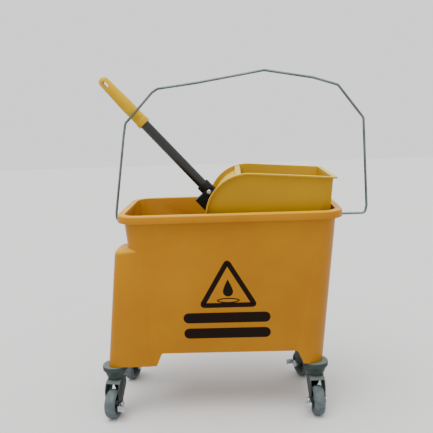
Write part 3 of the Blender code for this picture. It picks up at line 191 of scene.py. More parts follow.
@dataclass(frozen=True)
class MouldedPlastic:
    """Injection-moulded polyolefin: satin skin, slow colour drift, fine grain and rubbed scuffs.

    Faces that look up get a painted highlight: a lighter colour that stands in for the light from
    above.
    """

    name: str
    base: str                   # most of the surface
    deep: str                   # thicker, more saturated stretches
    rubbed: str                 # where things have scraped it
    painted_top_highlight: str                  # painted highlight on faces that look up, standing in for light from above
    roughness: float = 0.36
    gloss: float = 0.16         # weak, as the skin is waxy and matt close up
    grain_mm: float = 1.4       # texture of the mould; drawn coarser than it is so that it shows
    grain_depth_mm: float = 0.02
    drift_mm: float = 160.0
    scuff_mm: float = 30.0
    scuffing: float = 0.35

    def build(self) -> bpy.types.Material:
        """Build the material.

        Returns:
            The finished material.
        """
        made, tree, shader = new_material(self.name)
        coordinates = add_node(tree, "ShaderNodeTexCoord")
        place = coordinates.outputs["Object"]
        drift = add_node(tree, "ShaderNodeTexNoise", {
            "Vector": place, "Scale": per_mm(self.drift_mm), "Detail": 3.0, "Roughness": 0.6})
        shift = add_node(tree, "ShaderNodeMapRange", {
            "Value": drift.outputs["Fac"], "From Min": 0.35, "From Max": 0.65})
        body = add_node(tree, "ShaderNodeMix", {
            "Factor": shift.outputs["Result"], MIX_A: linear(self.deep),
            MIX_B: linear(self.base)}, data_type="RGBA")
        stretch = add_node(tree, "ShaderNodeMapping", {
            "Vector": place, "Rotation": (0.3, 0.2, 0.5), "Scale": (1.0, 1.0, 9.0)})
        scratch = add_node(tree, "ShaderNodeTexNoise", {
            "Vector": stretch.outputs["Vector"], "Scale": per_mm(self.scuff_mm), "Detail": 6.0,
            "Roughness": 0.75})
        scuff = add_node(tree, "ShaderNodeMapRange", {
            "Value": scratch.outputs["Fac"], "From Min": 0.60, "From Max": 0.74,
            "To Max": self.scuffing})
        # Painted highlight: faces that look up are mixed toward a lighter colour, which stands in
        # for the light from above.
        facing = add_node(tree, "ShaderNodeSeparateXYZ", {
            "Vector": coordinates.outputs["Normal"]})
        painted_light_share = add_node(tree, "ShaderNodeMapRange", {
            "Value": facing.outputs["Z"], "From Min": 0.25, "From Max": 0.95})
        painted_light_colour = add_node(tree, "ShaderNodeMix", {
            "Factor": painted_light_share.outputs["Result"], MIX_A: body.outputs[MIX_COLOUR],
            MIX_B: linear(self.painted_top_highlight)}, data_type="RGBA")
        colour = add_node(tree, "ShaderNodeMix", {
            "Factor": scuff.outputs["Result"], MIX_A: painted_light_colour.outputs[MIX_COLOUR],
            MIX_B: linear(self.rubbed)}, data_type="RGBA")
        dull = add_node(tree, "ShaderNodeMapRange", {
            "Value": scratch.outputs["Fac"], "From Min": 0.3, "From Max": 0.8,
            "To Min": self.roughness - 0.05, "To Max": self.roughness + 0.14})
        grain = add_node(tree, "ShaderNodeTexNoise", {
            "Vector": place, "Scale": per_mm(self.grain_mm), "Detail": 2.0})
        relief = add_node(tree, "ShaderNodeBump", {
            "Height": grain.outputs["Fac"], "Distance": self.grain_depth_mm / 1000,
            "Strength": 0.5})
        feed(tree, shader, {
            "Base Color": colour.outputs[MIX_COLOUR], "Roughness": dull.outputs["Result"],
            "Normal": relief.outputs["Normal"], "IOR": PLASTIC_IOR,
            "Specular IOR Level": self.gloss})
        return made


@dataclass(frozen=True)
class CoatedSteel:
    """Powder-coated steel: even dark film with a faint orange peel and pale rub marks."""

    name: str
    film: str
    rubbed: str
    roughness: float = 0.34
    peel_mm: float = 2.2
    peel_depth_mm: float = 0.03
    mark_mm: float = 18.0

    def build(self) -> bpy.types.Material:
        """Build the material.

        Returns:
            The finished material.
        """
        made, tree, shader = new_material(self.name)
        place = add_node(tree, "ShaderNodeTexCoord").outputs["Object"]
        peel = add_node(tree, "ShaderNodeTexNoise", {
            "Vector": place, "Scale": per_mm(self.peel_mm), "Detail": 1.0})
        marks = add_node(tree, "ShaderNodeTexNoise", {
            "Vector": place, "Scale": per_mm(self.mark_mm), "Detail": 8.0, "Roughness": 0.8})
        rub = add_node(tree, "ShaderNodeMapRange", {
            "Value": marks.outputs["Fac"], "From Min": 0.62, "From Max": 0.72, "To Max": 0.5})
        colour = add_node(tree, "ShaderNodeMix", {
            "Factor": rub.outputs["Result"], MIX_A: linear(self.film),
            MIX_B: linear(self.rubbed)}, data_type="RGBA")
        dull = add_node(tree, "ShaderNodeMapRange", {
            "Value": marks.outputs["Fac"], "To Min": self.roughness - 0.06,
            "To Max": self.roughness + 0.18})
        relief = add_node(tree, "ShaderNodeBump", {
            "Height": peel.outputs["Fac"], "Distance": self.peel_depth_mm / 1000,
            "Strength": 0.5})
        feed(tree, shader, {
            "Base Color": colour.outputs[MIX_COLOUR], "Roughness": dull.outputs["Result"],
            "Normal": relief.outputs["Normal"]})
        return made


@dataclass(frozen=True)
class PlatedSteel:
    """Zinc-plated or galvanised steel: grey metal, clouded by handling, with fine drawn lines."""

    name: str
    bright: str
    clouded: str
    roughness: float = 0.32
    cloud_mm: float = 14.0
    line_mm: float = 0.9        # drawn lines; coarser than real so that they show
    line_depth_mm: float = 0.01

    def build(self) -> bpy.types.Material:
        """Build the material.

        Returns:
            The finished material.
        """
        made, tree, shader = new_material(self.name)
        place = add_node(tree, "ShaderNodeTexCoord").outputs["Object"]
        cloud = add_node(tree, "ShaderNodeTexNoise", {
            "Vector": place, "Scale": per_mm(self.cloud_mm), "Detail": 5.0, "Roughness": 0.65})
        spread = add_node(tree, "ShaderNodeMapRange", {
            "Value": cloud.outputs["Fac"], "From Min": 0.35, "From Max": 0.7})
        colour = add_node(tree, "ShaderNodeMix", {
            "Factor": spread.outputs["Result"], MIX_A: linear(self.bright),
            MIX_B: linear(self.clouded)}, data_type="RGBA")
        lines = add_node(tree, "ShaderNodeMapping", {"Vector": place, "Scale": (0.08, 1.0, 1.0)})
        drawn = add_node(tree, "ShaderNodeTexNoise", {
            "Vector": lines.outputs["Vector"], "Scale": per_mm(self.line_mm), "Detail": 2.0})
        dull = add_node(tree, "ShaderNodeMapRange", {
            "Value": cloud.outputs["Fac"], "To Min": self.roughness - 0.1,
            "To Max": self.roughness + 0.2})
        relief = add_node(tree, "ShaderNodeBump", {
            "Height": drawn.outputs["Fac"], "Distance": self.line_depth_mm / 1000,
            "Strength": 0.6})
        feed(tree, shader, {
            "Base Color": colour.outputs[MIX_COLOUR], "Roughness": dull.outputs["Result"],
            "Normal": relief.outputs["Normal"], "Metallic": 1.0})
        return made


@dataclass(frozen=True)
class WornRubber:
    """Soft tread rubber: matt grey, dusty and scuffed where it rolls."""

    name: str
    rubber: str
    dust: str
    roughness: float = 0.62
    patch_mm: float = 12.0
    pit_mm: float = 0.8
    pit_depth_mm: float = 0.04

    def build(self) -> bpy.types.Material:
        """Build the material.

        Returns:
            The finished material.
        """
        made, tree, shader = new_material(self.name)
        place = add_node(tree, "ShaderNodeTexCoord").outputs["Object"]
        patches = add_node(tree, "ShaderNodeTexNoise", {
            "Vector": place, "Scale": per_mm(self.patch_mm), "Detail": 7.0, "Roughness": 0.7})
        dusting = add_node(tree, "ShaderNodeMapRange", {
            "Value": patches.outputs["Fac"], "From Min": 0.42, "From Max": 0.68,
            "To Max": 0.8})
        colour = add_node(tree, "ShaderNodeMix", {
            "Factor": dusting.outputs["Result"], MIX_A: linear(self.rubber),
            MIX_B: linear(self.dust)}, data_type="RGBA")
        pits = add_node(tree, "ShaderNodeTexNoise", {
            "Vector": place, "Scale": per_mm(self.pit_mm), "Detail": 2.0})
        relief = add_node(tree, "ShaderNodeBump", {
            "Height": pits.outputs["Fac"], "Distance": self.pit_depth_mm / 1000,
            "Strength": 0.7})
        dull = add_node(tree, "ShaderNodeMapRange", {
            "Value": patches.outputs["Fac"], "To Min": self.roughness - 0.12,
            "To Max": self.roughness + 0.2})
        feed(tree, shader, {
            "Base Color": colour.outputs[MIX_COLOUR], "Roughness": dull.outputs["Result"],
            "Normal": relief.outputs["Normal"]})
        return made


@dataclass(frozen=True)
class PrintInk:
    """Screen-printed ink: dense dark film with a few worn pinholes."""

    name: str
    ink: str
    worn: str
    hole_mm: float = 3.0
    roughness: float = 0.6
    gloss: float = 0.1

    def build(self) -> bpy.types.Material:
        """Build the material.

        Returns:
            The finished material.
        """
        made, tree, shader = new_material(self.name)
        place = add_node(tree, "ShaderNodeTexCoord").outputs["Object"]
        holes = add_node(tree, "ShaderNodeTexNoise", {
            "Vector": place, "Scale": per_mm(self.hole_mm), "Detail": 6.0, "Roughness": 0.8})
        worn = add_node(tree, "ShaderNodeMapRange", {
            "Value": holes.outputs["Fac"], "From Min": 0.66, "From Max": 0.72,
            "To Max": 0.6})
        colour = add_node(tree, "ShaderNodeMix", {
            "Factor": worn.outputs["Result"], MIX_A: linear(self.ink),
            MIX_B: linear(self.worn)}, data_type="RGBA")
        feed(tree, shader, {
            "Base Color": colour.outputs[MIX_COLOUR], "Roughness": self.roughness,
            "Specular IOR Level": self.gloss})
        return made


@dataclass
class Finishes:
    """All of the object's materials, each built once."""

    def __post_init__(self) -> None:
        """Build the materials."""
        # Each moulded plastic's fourth colour is its painted highlight, mixed onto faces that
        # look up to stand in for the light from above.
        # Coloured polyethylene: satin and slightly waxy, deeper where the wall is thicker.
        self.tub = MouldedPlastic(
            "satin_amber_polyethylene", "#A66E00", "#9E6600", "#B68616", "#CC9600",
            scuffing=0.20).build()
        # The wringer is a harder, brighter polypropylene.
        self.wringer = MouldedPlastic(
            "satin_yellow_polypropylene", "#A87E00", "#A07600", "#BC9816", "#D4B000",
            roughness=0.32, scuffing=0.20).build()
        # The grip is soft-feel yellow plastic, polished by hands.
        self.grip = MouldedPlastic(
            "smooth_yellow_grip", "#BC9400", "#B08800", "#C4A028", "#C8A200",
            roughness=0.42, scuffing=0.12, scuff_mm=24.0, drift_mm=60.0,
            grain_depth_mm=0.006).build()
        # Glass-filled nylon: near-black and dull.
        self.black = MouldedPlastic(
            "black_filled_nylon", "#100F0B", "#0A0A08", "#2C2C28", "#1C1B17",
            roughness=0.46, drift_mm=40.0, scuff_mm=12.0, grain_mm=0.9).build()
        # Baked black powder on steel tube.
        self.tube = CoatedSteel("black_powder_coat", "#0C0C0A", "#30302C").build()
        # Bright zinc, slightly blue, clouded by handling.
        self.zinc = PlatedSteel("zinc_plated_steel", "#C9CED1", "#8E9599").build()
        # Galvanised wire is darker and duller than the plated fittings.
        self.wire = PlatedSteel("galvanised_wire", "#6E787A", "#505A5A", roughness=0.38,
                                cloud_mm=45.0).build()
        # Grey nylon with a dusty sheen.
        self.caster = MouldedPlastic(
            "grey_nylon", "#343D3A", "#29312F", "#56605C", "#5A6462",
            roughness=0.42, drift_mm=30.0, scuff_mm=10.0, grain_mm=0.9).build()
        # Soft grey rubber, matt and dusty.
        self.tread = WornRubber("grey_tread_rubber", "#3C474B", "#5C686C").build()
        # Thick screen ink, nearly black with a brown cast.
        self.ink = PrintInk("dark_screen_ink", "#140600", "#6A3C08").build()


# ---------------------------------------------------------------- modelling helpers

def clear_selection() -> None:
    """Deselect every object."""
    bpy.ops.object.select_all(action="DESELECT")


def make_active(piece: bpy.types.Object) -> None:
    """Select only this object and make it active."""
    clear_selection()
    piece.select_set(True)
    bpy.context.view_layer.objects.active = piece


class Editing:
    """Edit mode on one piece for the length of a with block."""

    def __init__(self, piece: bpy.types.Object, select: str = "SELECT") -> None:
        """Remember the piece and what is selected on entry."""
        self.piece = piece
        self.select = select

    def __enter__(self) -> bpy.types.Object:
        """Enter edit mode."""
        make_active(self.piece)
        bpy.ops.object.mode_set(mode="EDIT")
        bpy.ops.mesh.select_all(action=self.select)
        return self.piece

    def __exit__(self, *details: Any) -> None:
        """Return to object mode."""
        bpy.ops.object.mode_set(mode="OBJECT")


def settle(piece: bpy.types.Object) -> None:
    """Move an object's place, turn and scale into its mesh."""
    make_active(piece)
    bpy.ops.object.transform_apply(location=True, rotation=True, scale=True)


def apply_modifier(piece: bpy.types.Object, kind: str, **settings: Any) -> None:
    """Add a modifier with its settings and apply it.

    Args:
        piece: Object to change.
        kind: Modifier type.
        **settings: Properties set on the modifier.
    """
    make_active(piece)
    step = piece.modifiers.new(kind.lower(), kind)
    for name, value in settings.items():
        setattr(step, name, value)
    bpy.ops.object.modifier_apply(modifier=step.name)


def smooth(piece: bpy.types.Object, angle: float = 40.0) -> None:
    """Shade smooth, with edges sharper than an angle in degrees kept sharp."""
    make_active(piece)
    bpy.ops.object.shade_smooth_by_angle(angle=math.radians(angle))


def dress(piece: bpy.types.Object, material: bpy.types.Material) -> None:
    """Give a piece one material."""
    piece.data.materials.clear()
    piece.data.materials.append(material)


def present(piece: bpy.types.Object, body: str, slot: Slot, *nodes: str) -> None:
    """Tie a finished piece to its body, and hide the frame nodes that it stands for.

    Args:
        piece: Finished piece.
        body: Name of the body that it rides on.
        slot: Material slot of the record; not used.
        *nodes: Frame nodes that it replaces.
    """
    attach(piece, body)
    if nodes:
        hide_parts(*nodes)
    LOG.info("%s rides on %s", piece.name, body)


def eased(points: Profile, reach: float, steps: int = 5) -> list[tuple[float, float]]:
    """Round the inner corners of an open line of points.

    Args:
        points: Corner points in a plane.
        reach: Radius of the rounding, limited by the neighbouring stretches.
        steps: Steps of each rounded corner.

    Returns:
        Points of the rounded line.
    """
    line = [points[0]]
    for before, corner, after in zip(points, points[1:], points[2:]):
        into, out = Vector(corner) - Vector(before), Vector(after) - Vector(corner)
        turn = into.angle(out)
        back = min(reach * math.tan(turn / 2), LARGEST_SHARE * into.length,
                   LARGEST_SHARE * out.length)
        start = Vector(corner) - into.normalized() * back
        end = Vector(corner) + out.normalized() * back
        for step in range(steps + 1):
            share = step / steps
            toward, away = start.lerp(Vector(corner), share), Vector(corner).lerp(end, share)
            point = toward.lerp(away, share)
            line.append((point[0], point[1]))
    line.append(points[-1])
    return line


def placed(origin: Sequence[float], axis: Sequence[float]) -> Matrix:
    """Pose whose own Z axis is laid along an axis through a point."""
    turn: Quaternion = Vector(axis).to_track_quat("Z", "Y")
    return Matrix.Translation(Vector(origin)) @ turn.to_matrix().to_4x4()


def turned(name: str, profile: Profile, pose: Matrix, sides: int = 64,
           hollow: bool = False, angle: float = 35.0) -> bpy.types.Object:
    """Model a round piece from a circle that is extruded and scaled along its profile.

    Args:
        name: Name of the piece.
        profile: Points (radius, height) along the piece's own axis.
        pose: Where the piece's own frame stands.
        sides: Sides of the circle.
        hollow: Whether the profile closes on itself round an open bore.
        angle: Sharpest edge, in degrees, that is still shaded smooth.

    Returns:
        The piece, at the origin with its place in its mesh.
    """
    clear_selection()
    radius, height = profile[0]
    fill = "NOTHING" if hollow else "NGON"
    bpy.ops.mesh.primitive_circle_add(vertices=sides, radius=radius, fill_type=fill,
                                      location=(0, 0, height))
    piece = bpy.context.object
    piece.name = name
    piece.data.name = name
    stops = [*profile, profile[0]] if hollow else list(profile)
    with Editing(piece):
        for (near, low), (far, high) in zip(stops, stops[1:]):
            bpy.ops.mesh.extrude_region_move(
                TRANSFORM_OT_translate={"value": (0, 0, high - low)})
            bpy.ops.transform.resize(value=(far / near, far / near, 1.0),
                                     center_override=(0, 0, high))
        bpy.ops.mesh.select_all(action="SELECT")
        bpy.ops.mesh.remove_doubles(threshold=MERGE_NEW)
        bpy.ops.mesh.normals_make_consistent(inside=False)
    settle(piece)
    piece.matrix_world = pose
    settle(piece)
    smooth(piece, angle)
    return piece


def cut_away(piece: bpy.types.Object, tool: bpy.types.Object) -> None:
    """Take one object away from another and delete it."""
    apply_modifier(piece, "BOOLEAN", operation="DIFFERENCE", solver="EXACT", object=tool)
    bpy.data.objects.remove(tool)


@dataclass
class Model:
    """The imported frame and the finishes, shared by the sub-assemblies."""

    frame: dict[str, Any]
    finishes: Finishes

    def joint(self, name: str) -> dict[str, Any]:
        """Joint of the record, by name."""
        return next(joint for joint in self.frame["joints"] if joint["name"] == name)

    def rounded(self, node: str, body: str, slot: Slot, material: bpy.types.Material,
                edge: Edge, angle: float = 40.0, steps: int = 2) -> None:
        """Make a copy of a frame node with whole faces and rounded edges, to stand for the node.

        Args:
            node: Frame node.
            body: Body that it rides on.
            slot: Material slot of the record.
            material: Finish.
            edge: Width of the edge rounding.
            angle: Sharpest edge, in degrees, that is left unrounded and shaded smooth.
            steps: Segments of the rounding.
        """
        source = self.frame["nodes"][node]
        piece = source.copy()
        piece.data = source.data.copy()
        piece.name = f"{node}_finished"
        bpy.context.scene.collection.objects.link(piece)
        piece.parent = None
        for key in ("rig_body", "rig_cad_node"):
            del piece[key]
        with Editing(piece):
            bpy.ops.mesh.customdata_custom_splitnormals_clear()
            bpy.ops.mesh.remove_doubles(threshold=MERGE_NODE)
            bpy.ops.mesh.dissolve_limited(angle_limit=FLAT)
        apply_modifier(piece, "BEVEL", width=edge.value, segments=steps, limit_method="ANGLE",
                       angle_limit=math.radians(angle), use_clamp_overlap=False)
        smooth(piece, angle)
        dress(piece, material)
        present(piece, body, slot, node)


# ---------------------------------------------------------------- sub-assemblies

@dataclass
class Tub:
    """Moulded tub, the brackets on its end walls and the mark on its near wall."""

    model: Model
    rim_top: float = 0.452
    half_width: float = 0.123   # outer wall at the rim
    draft: float = math.radians(4.4)
    mark_x: float = -0.0153
    mark_stand_off: float = 0.00025
    ink_depth: float = 0.0002
    triangle_middle: float = 0.2855
    triangle_radius: float = 0.0745
    triangle_band: float = 0.0105
    triangle_corner: float = 0.0155
    drop_radius: float = 0.0105
    drop_rise: float = 0.017    # how far its tip is drawn up
    drop_reach: float = 0.016   # how far round the tip the outline follows
    drop_below: float = 0.002   # the triangle's middle
    puddle_radius: float = 0.024
    puddle_squash: float = 0.24
    puddle_band: float = 0.0022
    puddle_below: float = 0.0215
    bar_heights: tuple[float, ...] = (0.2255, 0.1905)
    bar_half_length: float = 0.092
    bar_half_depth: float = 0.0115
    bar_rounding: float = 0.98  # of the half depth
    bar_shift: float = -0.004

    def build(self) -> None:
        """Build the tub, its brackets, rivets and mark."""
        finish = self.model.finishes
        self.model.rounded("tub", "bucket", Slot.TUB, finish.tub, Edge.TUB, angle=38.0)
        for end in ("left", "right"):
            bracket = f"bail_bracket_{end}"
            self.model.rounded(bracket, "bucket", Slot.ZINC, finish.zinc, Edge.STRIP)
            for side in ("near", "far"):
                self.model.rounded(f"{bracket}_rivet_{side}", "bucket", Slot.ZINC, finish.zinc,
                                   Edge.FINE)
        self.mark()

    def wall_pose(self, x: float, z: float) -> Matrix:
        """Pose on the near wall: its own X along the wall, Y up the wall and Z out of it.

        Args:
            x: Place along the wall.
            z: Height.

        Returns:
            The pose.
        """
        wall = self.half_width - (self.rim_top - z) * math.tan(self.draft)
        spot = Matrix.Translation((x, -wall - self.mark_stand_off, z))
        return spot @ Matrix.Rotation(math.pi / 2 + self.draft, 4, "X")

    def flat(self, name: str, sides: int, radius: float) -> bpy.types.Object:
        """Filled ring of points to shape into a part of the mark."""
        clear_selection()
        bpy.ops.mesh.primitive_circle_add(vertices=sides, radius=radius, fill_type="NGON")
        piece = bpy.context.object
        piece.name = name
        return piece

    def ring(self, piece: bpy.types.Object, band: float) -> None:
        """Turn a filled outline into a ring of a given width."""
        with Editing(piece):
            bpy.ops.mesh.inset(thickness=band)
            bpy.ops.mesh.delete(type="FACE")

    def triangle(self) -> bpy.types.Object:
        """Model the mark's triangle ring."""
        piece = self.flat("mark_triangle", 3, self.triangle_radius)
        with Editing(piece):
            bpy.ops.mesh.bevel(offset=self.triangle_corner, segments=8, affect="VERTICES")
        self.ring(piece, self.triangle_band)
        return piece

    def drop(self) -> bpy.types.Object:
        """Model the mark's drop: a disc whose top is drawn up to a tip."""
        piece = self.flat("mark_drop", 32, self.drop_radius)
        with Editing(piece, "DESELECT"):
            bpy.ops.object.mode_set(mode="OBJECT")
            top = max(piece.data.vertices, key=lambda corner: corner.co.y)
            top.select = True
            bpy.ops.object.mode_set(mode="EDIT")
            bpy.ops.transform.translate(
                value=(0, self.drop_rise, 0), use_proportional_edit=True,
                proportional_edit_falloff="SHARP", proportional_size=self.drop_reach)
        return piece

    def puddle(self) -> bpy.types.Object:
        """Model the mark's puddle ring."""
        piece = self.flat("mark_puddle", 40, self.puddle_radius)
        with Editing(piece):
            bpy.ops.transform.resize(value=(1.0, self.puddle_squash, 1.0),
                                     center_override=(0, 0, 0))
        self.ring(piece, self.puddle_band)
        return piece

    def bar(self, number: int) -> bpy.types.Object:
        """Model one of the mark's bars, with rounded ends."""
        clear_selection()
        bpy.ops.mesh.primitive_plane_add(size=2.0)
        piece = bpy.context.object
        piece.name = f"mark_bar_{number}"
        with Editing(piece):
            bpy.ops.transform.resize(value=(self.bar_half_length, self.bar_half_depth, 1.0),
                                     center_override=(0, 0, 0))
            bpy.ops.mesh.bevel(offset=self.bar_half_depth * self.bar_rounding, segments=8,
                               affect="VERTICES")
        return piece

    def mark(self) -> None:
        """Model the generic printed mark: a triangle ring with a drop and a puddle, and bars."""
        triangle = self.triangle()
        parts = [(triangle, self.mark_x, self.triangle_middle),
                 (self.drop(), self.mark_x, self.triangle_middle - self.drop_below),
                 (self.puddle(), self.mark_x, self.triangle_middle - self.puddle_below)]
        for number, height in enumerate(self.bar_heights):
            parts.append((self.bar(number), self.mark_x + self.bar_shift, height))
        for piece, x, z in parts:
            piece.matrix_world = self.wall_pose(x, z)
            settle(piece)
        clear_selection()
        for piece, _, _ in parts:
            piece.select_set(True)
        bpy.context.view_layer.objects.active = triangle
        bpy.ops.object.join()
        triangle.name = "wall_mark"
        apply_modifier(triangle, "SOLIDIFY", thickness=self.ink_depth, offset=-1.0)
        with Editing(triangle):
            bpy.ops.mesh.normals_make_consistent(inside=False)
        dress(triangle, self.model.finishes.ink)
        present(triangle, "bucket", Slot.BLACK)


@dataclass
class Bail:
    """Bent wire that carries the bucket."""

    model: Model
    wire_radius: float = 0.00275
    lean: float = math.radians(1.0)
    bend: float = 0.011
    shift: float = -0.007975    # tub's middle along X
    left_end: float = -0.2242
    right_end: float = 0.2242
    route: tuple[tuple[float, float], ...] = (
        (-0.2530, 0.0), (-0.2530, 0.016), (-0.2265, 0.188), (-0.2215, 0.213),
        (-0.1970, 0.238), (-0.1600, 0.2770), (-0.1480, 0.2845), (-0.0613, 0.2943),
        (0.0830, 0.3158), (0.1870, 0.2968), (0.2405, 0.2795), (0.2950, 0.2080),
        (0.3025, 0.016), (0.2990, 0.0))     # bends, along X and above the pivot

    def build(self) -> None:
        """Bend the wire along its route."""
        pivot = Vector(self.model.joint("bail_swing")["pos_m"])
        route = eased([(self.left_end, 0.0), *self.route, (self.right_end, 0.0)], self.bend,
                      steps=6)
        curve = bpy.data.curves.new("bail_route", "CURVE")
        curve.dimensions = "3D"
        line = curve.splines.new("POLY")
        line.points.add(len(route) - 1)
        tilt = Matrix.Rotation(-self.lean, 3, "X")
        for point, (x, height) in zip(line.points, route):
            spot = tilt @ Vector((x + self.shift, 0.0, height))
            point.co = (spot.x, spot.y + pivot.y, spot.z + pivot.z, 1.0)
        curve.bevel_depth = self.wire_radius
        curve.bevel_resolution = 6
        curve.use_fill_caps = True
        wire = bpy.data.objects.new("bail_wire", curve)
        bpy.context.scene.collection.objects.link(wire)
        make_active(wire)
        bpy.ops.object.convert(target="MESH")
        wire = bpy.context.object
        smooth(wire, 50.0)
        dress(wire, self.model.finishes.wire)
        present(wire, "bail", Slot.WIRE, "bail")


@dataclass
class Caster:
    """One caster: fixed cap, swivelling fork, axle, side brake, core and tyre."""

    model: Model
    place: str
    wheel_radius: float = 0.0315
    half_width: float = 0.012
    tread: float = 0.008
    bore: float = 0.0043
    hub: float = 0.0085
    web: float = 0.004
    cap_radius: float = 0.0275
    cap_depth: float = 0.0105
    cap_edge: float = 0.003
    cone_foot: float = 0.017
    stem: float = 0.0055
    stem_length: float = 0.023
    pin: float = 0.0045
    pin_head: float = 0.0074
    fork_plate: float = 0.006
    gap: float = 0.0003
    stem_taper: float = 0.7     # of the stem's radius, at its tip
    stem_tip: float = 0.002
    cap_ease: float = 0.0016
    head_slope: float = 0.0014
    core_rim: float = 0.003     # thickness of the core's rim
    core_slope: float = 0.001
    core_ease: float = 0.0012
    rim_back: float = 0.001     # the rim and the tyre's bead stand back from the hub
    bead: float = 0.003
    shoulder_drop: float = 0.0035
    shoulder_back: float = 0.0006
    crown_drop: float = 0.0004
    crown_back: float = 0.0045
    tyre_ease: float = 0.004

    def build(self) -> None:
        """Build the caster."""
        finish = self.model.finishes
        wheel = self.model.joint(f"wheel_spin_{self.place}")
        pose = placed(wheel["pos_m"], wheel["axis"])
        self.cap()
        self.core(pose)
        self.tyre(pose)
        body = f"swivel_{self.place}"
        self.model.rounded(f"caster_fork_{self.place}", body, Slot.CASTER, finish.caster,
                           Edge.FORK, steps=3)
        self.model.rounded(f"caster_axle_{self.place}", body, Slot.ZINC, finish.zinc, Edge.FINE)
        self.model.rounded(f"caster_brake_{self.place}", f"brake_{self.place}", Slot.ZINC,
                           finish.zinc, Edge.STRIP)

    def cap(self) -> None:
        """Model the fixed cap: stem, disc with a soft edge, cone and king pin."""
        swivel = self.model.joint(f"swivel_{self.place}")
        low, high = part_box(f"caster_cap_{self.place}")
        top = high.z - self.stem_length
        rim = top - self.cap_depth
        head = low.z + self.cap_edge
        foot = head + self.fork_plate + 3 * self.gap
        disc = eased([(self.stem, top), (self.cap_radius, top), (self.cap_radius, rim),
                      (self.cap_radius - self.cap_edge, rim - self.cap_edge / 2),
                      (self.cone_foot, foot), (self.pin, foot)], self.cap_ease)
        profile = [(self.stem * self.stem_taper, high.z), (self.stem, high.z - self.stem_tip),
                   *disc, (self.pin, head), (self.pin_head, head),
                   (self.pin_head - self.head_slope, low.z)]
        pose = Matrix.Translation((swivel["pos_m"][0], swivel["pos_m"][1], 0.0))
        cap = turned(f"caster_cap_{self.place}_finished", profile, pose, angle=30.0)
        dress(cap, self.model.finishes.caster)
        present(cap, "bucket", Slot.CASTER, f"caster_cap_{self.place}")

    def core(self, pose: Matrix) -> None:
        """Model the wheel core: hub, dished web and rim, with eased edges.

        Args:
            pose: Wheel's centre and axis.
        """
        half = self.half_width
        rim = self.wheel_radius - self.tread
        inside = rim - self.core_rim
        side = eased([(self.bore, half), (self.hub, half), (self.hub, self.web),
                      (inside - self.core_slope, self.web), (inside, half - self.rim_back),
                      (rim, half - self.rim_back)], self.core_ease, 3)
        back = [(radius, -height) for radius, height in reversed(side)]
        core = turned(f"caster_core_{self.place}_finished", [*side, *back], pose,
                      hollow=True)
        dress(core, self.model.finishes.caster)
        present(core, f"wheel_{self.place}", Slot.CASTER, f"caster_core_{self.place}")

    def tyre(self, pose: Matrix) -> None:
        """Model the tyre: crowned tread with soft shoulders.

        Args:
            pose: Wheel's centre and axis.
        """
        half, outer = self.half_width, self.wheel_radius
        seat = outer - self.tread + self.gap
        side = eased([(seat, half - self.rim_back), (seat + self.bead, half),
                      (outer - self.shoulder_drop, half - self.shoulder_back),
                      (outer - self.crown_drop, half - self.crown_back), (outer, 0.0)],
                     self.tyre_ease)
        back = [(radius, -height) for radius, height in reversed(side[:-1])]
        tyre = turned(f"caster_tyre_{self.place}_finished", [*side, *back], pose, sides=80,
                      hollow=True)
        dress(tyre, self.model.finishes.tread)
        present(tyre, f"wheel_{self.place}", Slot.TREAD, f"caster_tyre_{self.place}")


@dataclass
class Wringer:
    """Perforated box, hood, screws and the bushes in its side panels."""

    model: Model

    def build(self) -> None:
        """Build the wringer's fixed pieces."""
        finish = self.model.finishes
        self.model.rounded("wringer_shell", "wringer", Slot.WRINGER, finish.wringer,
                           Edge.MOULDING, angle=35.0)
        self.model.rounded("wringer_hood", "wringer", Slot.WRINGER, finish.wringer,
                           Edge.MOULDING, angle=35.0)
        for side in ("near", "far"):
            self.model.rounded(f"hood_screw_{side}", "wringer", Slot.ZINC, finish.zinc,
                               Edge.FINE)
            for shaft in ("lever", "plate"):
                self.model.rounded(f"{shaft}_bush_{side}", "wringer", Slot.BLACK, finish.black,
                                   Edge.BUSH)


@dataclass
class Press:
    """Press plate with its shaft, clips and gears."""

    model: Model

    def build(self) -> None:
        """Build the press plate and what turns with it."""
        finish = self.model.finishes
        self.model.rounded("press_plate", "press", Slot.WRINGER, finish.wringer, Edge.MOULDING)
        self.model.rounded("plate_shaft", "press", Slot.ZINC, finish.zinc, Edge.FINE)
        for side in ("near", "far"):
            self.model.rounded(f"plate_clip_{side}", "press", Slot.ZINC, finish.zinc, Edge.FINE)
            self.model.rounded(f"plate_gear_{side}", "press", Slot.BLACK, finish.black,
                               Edge.FINE)


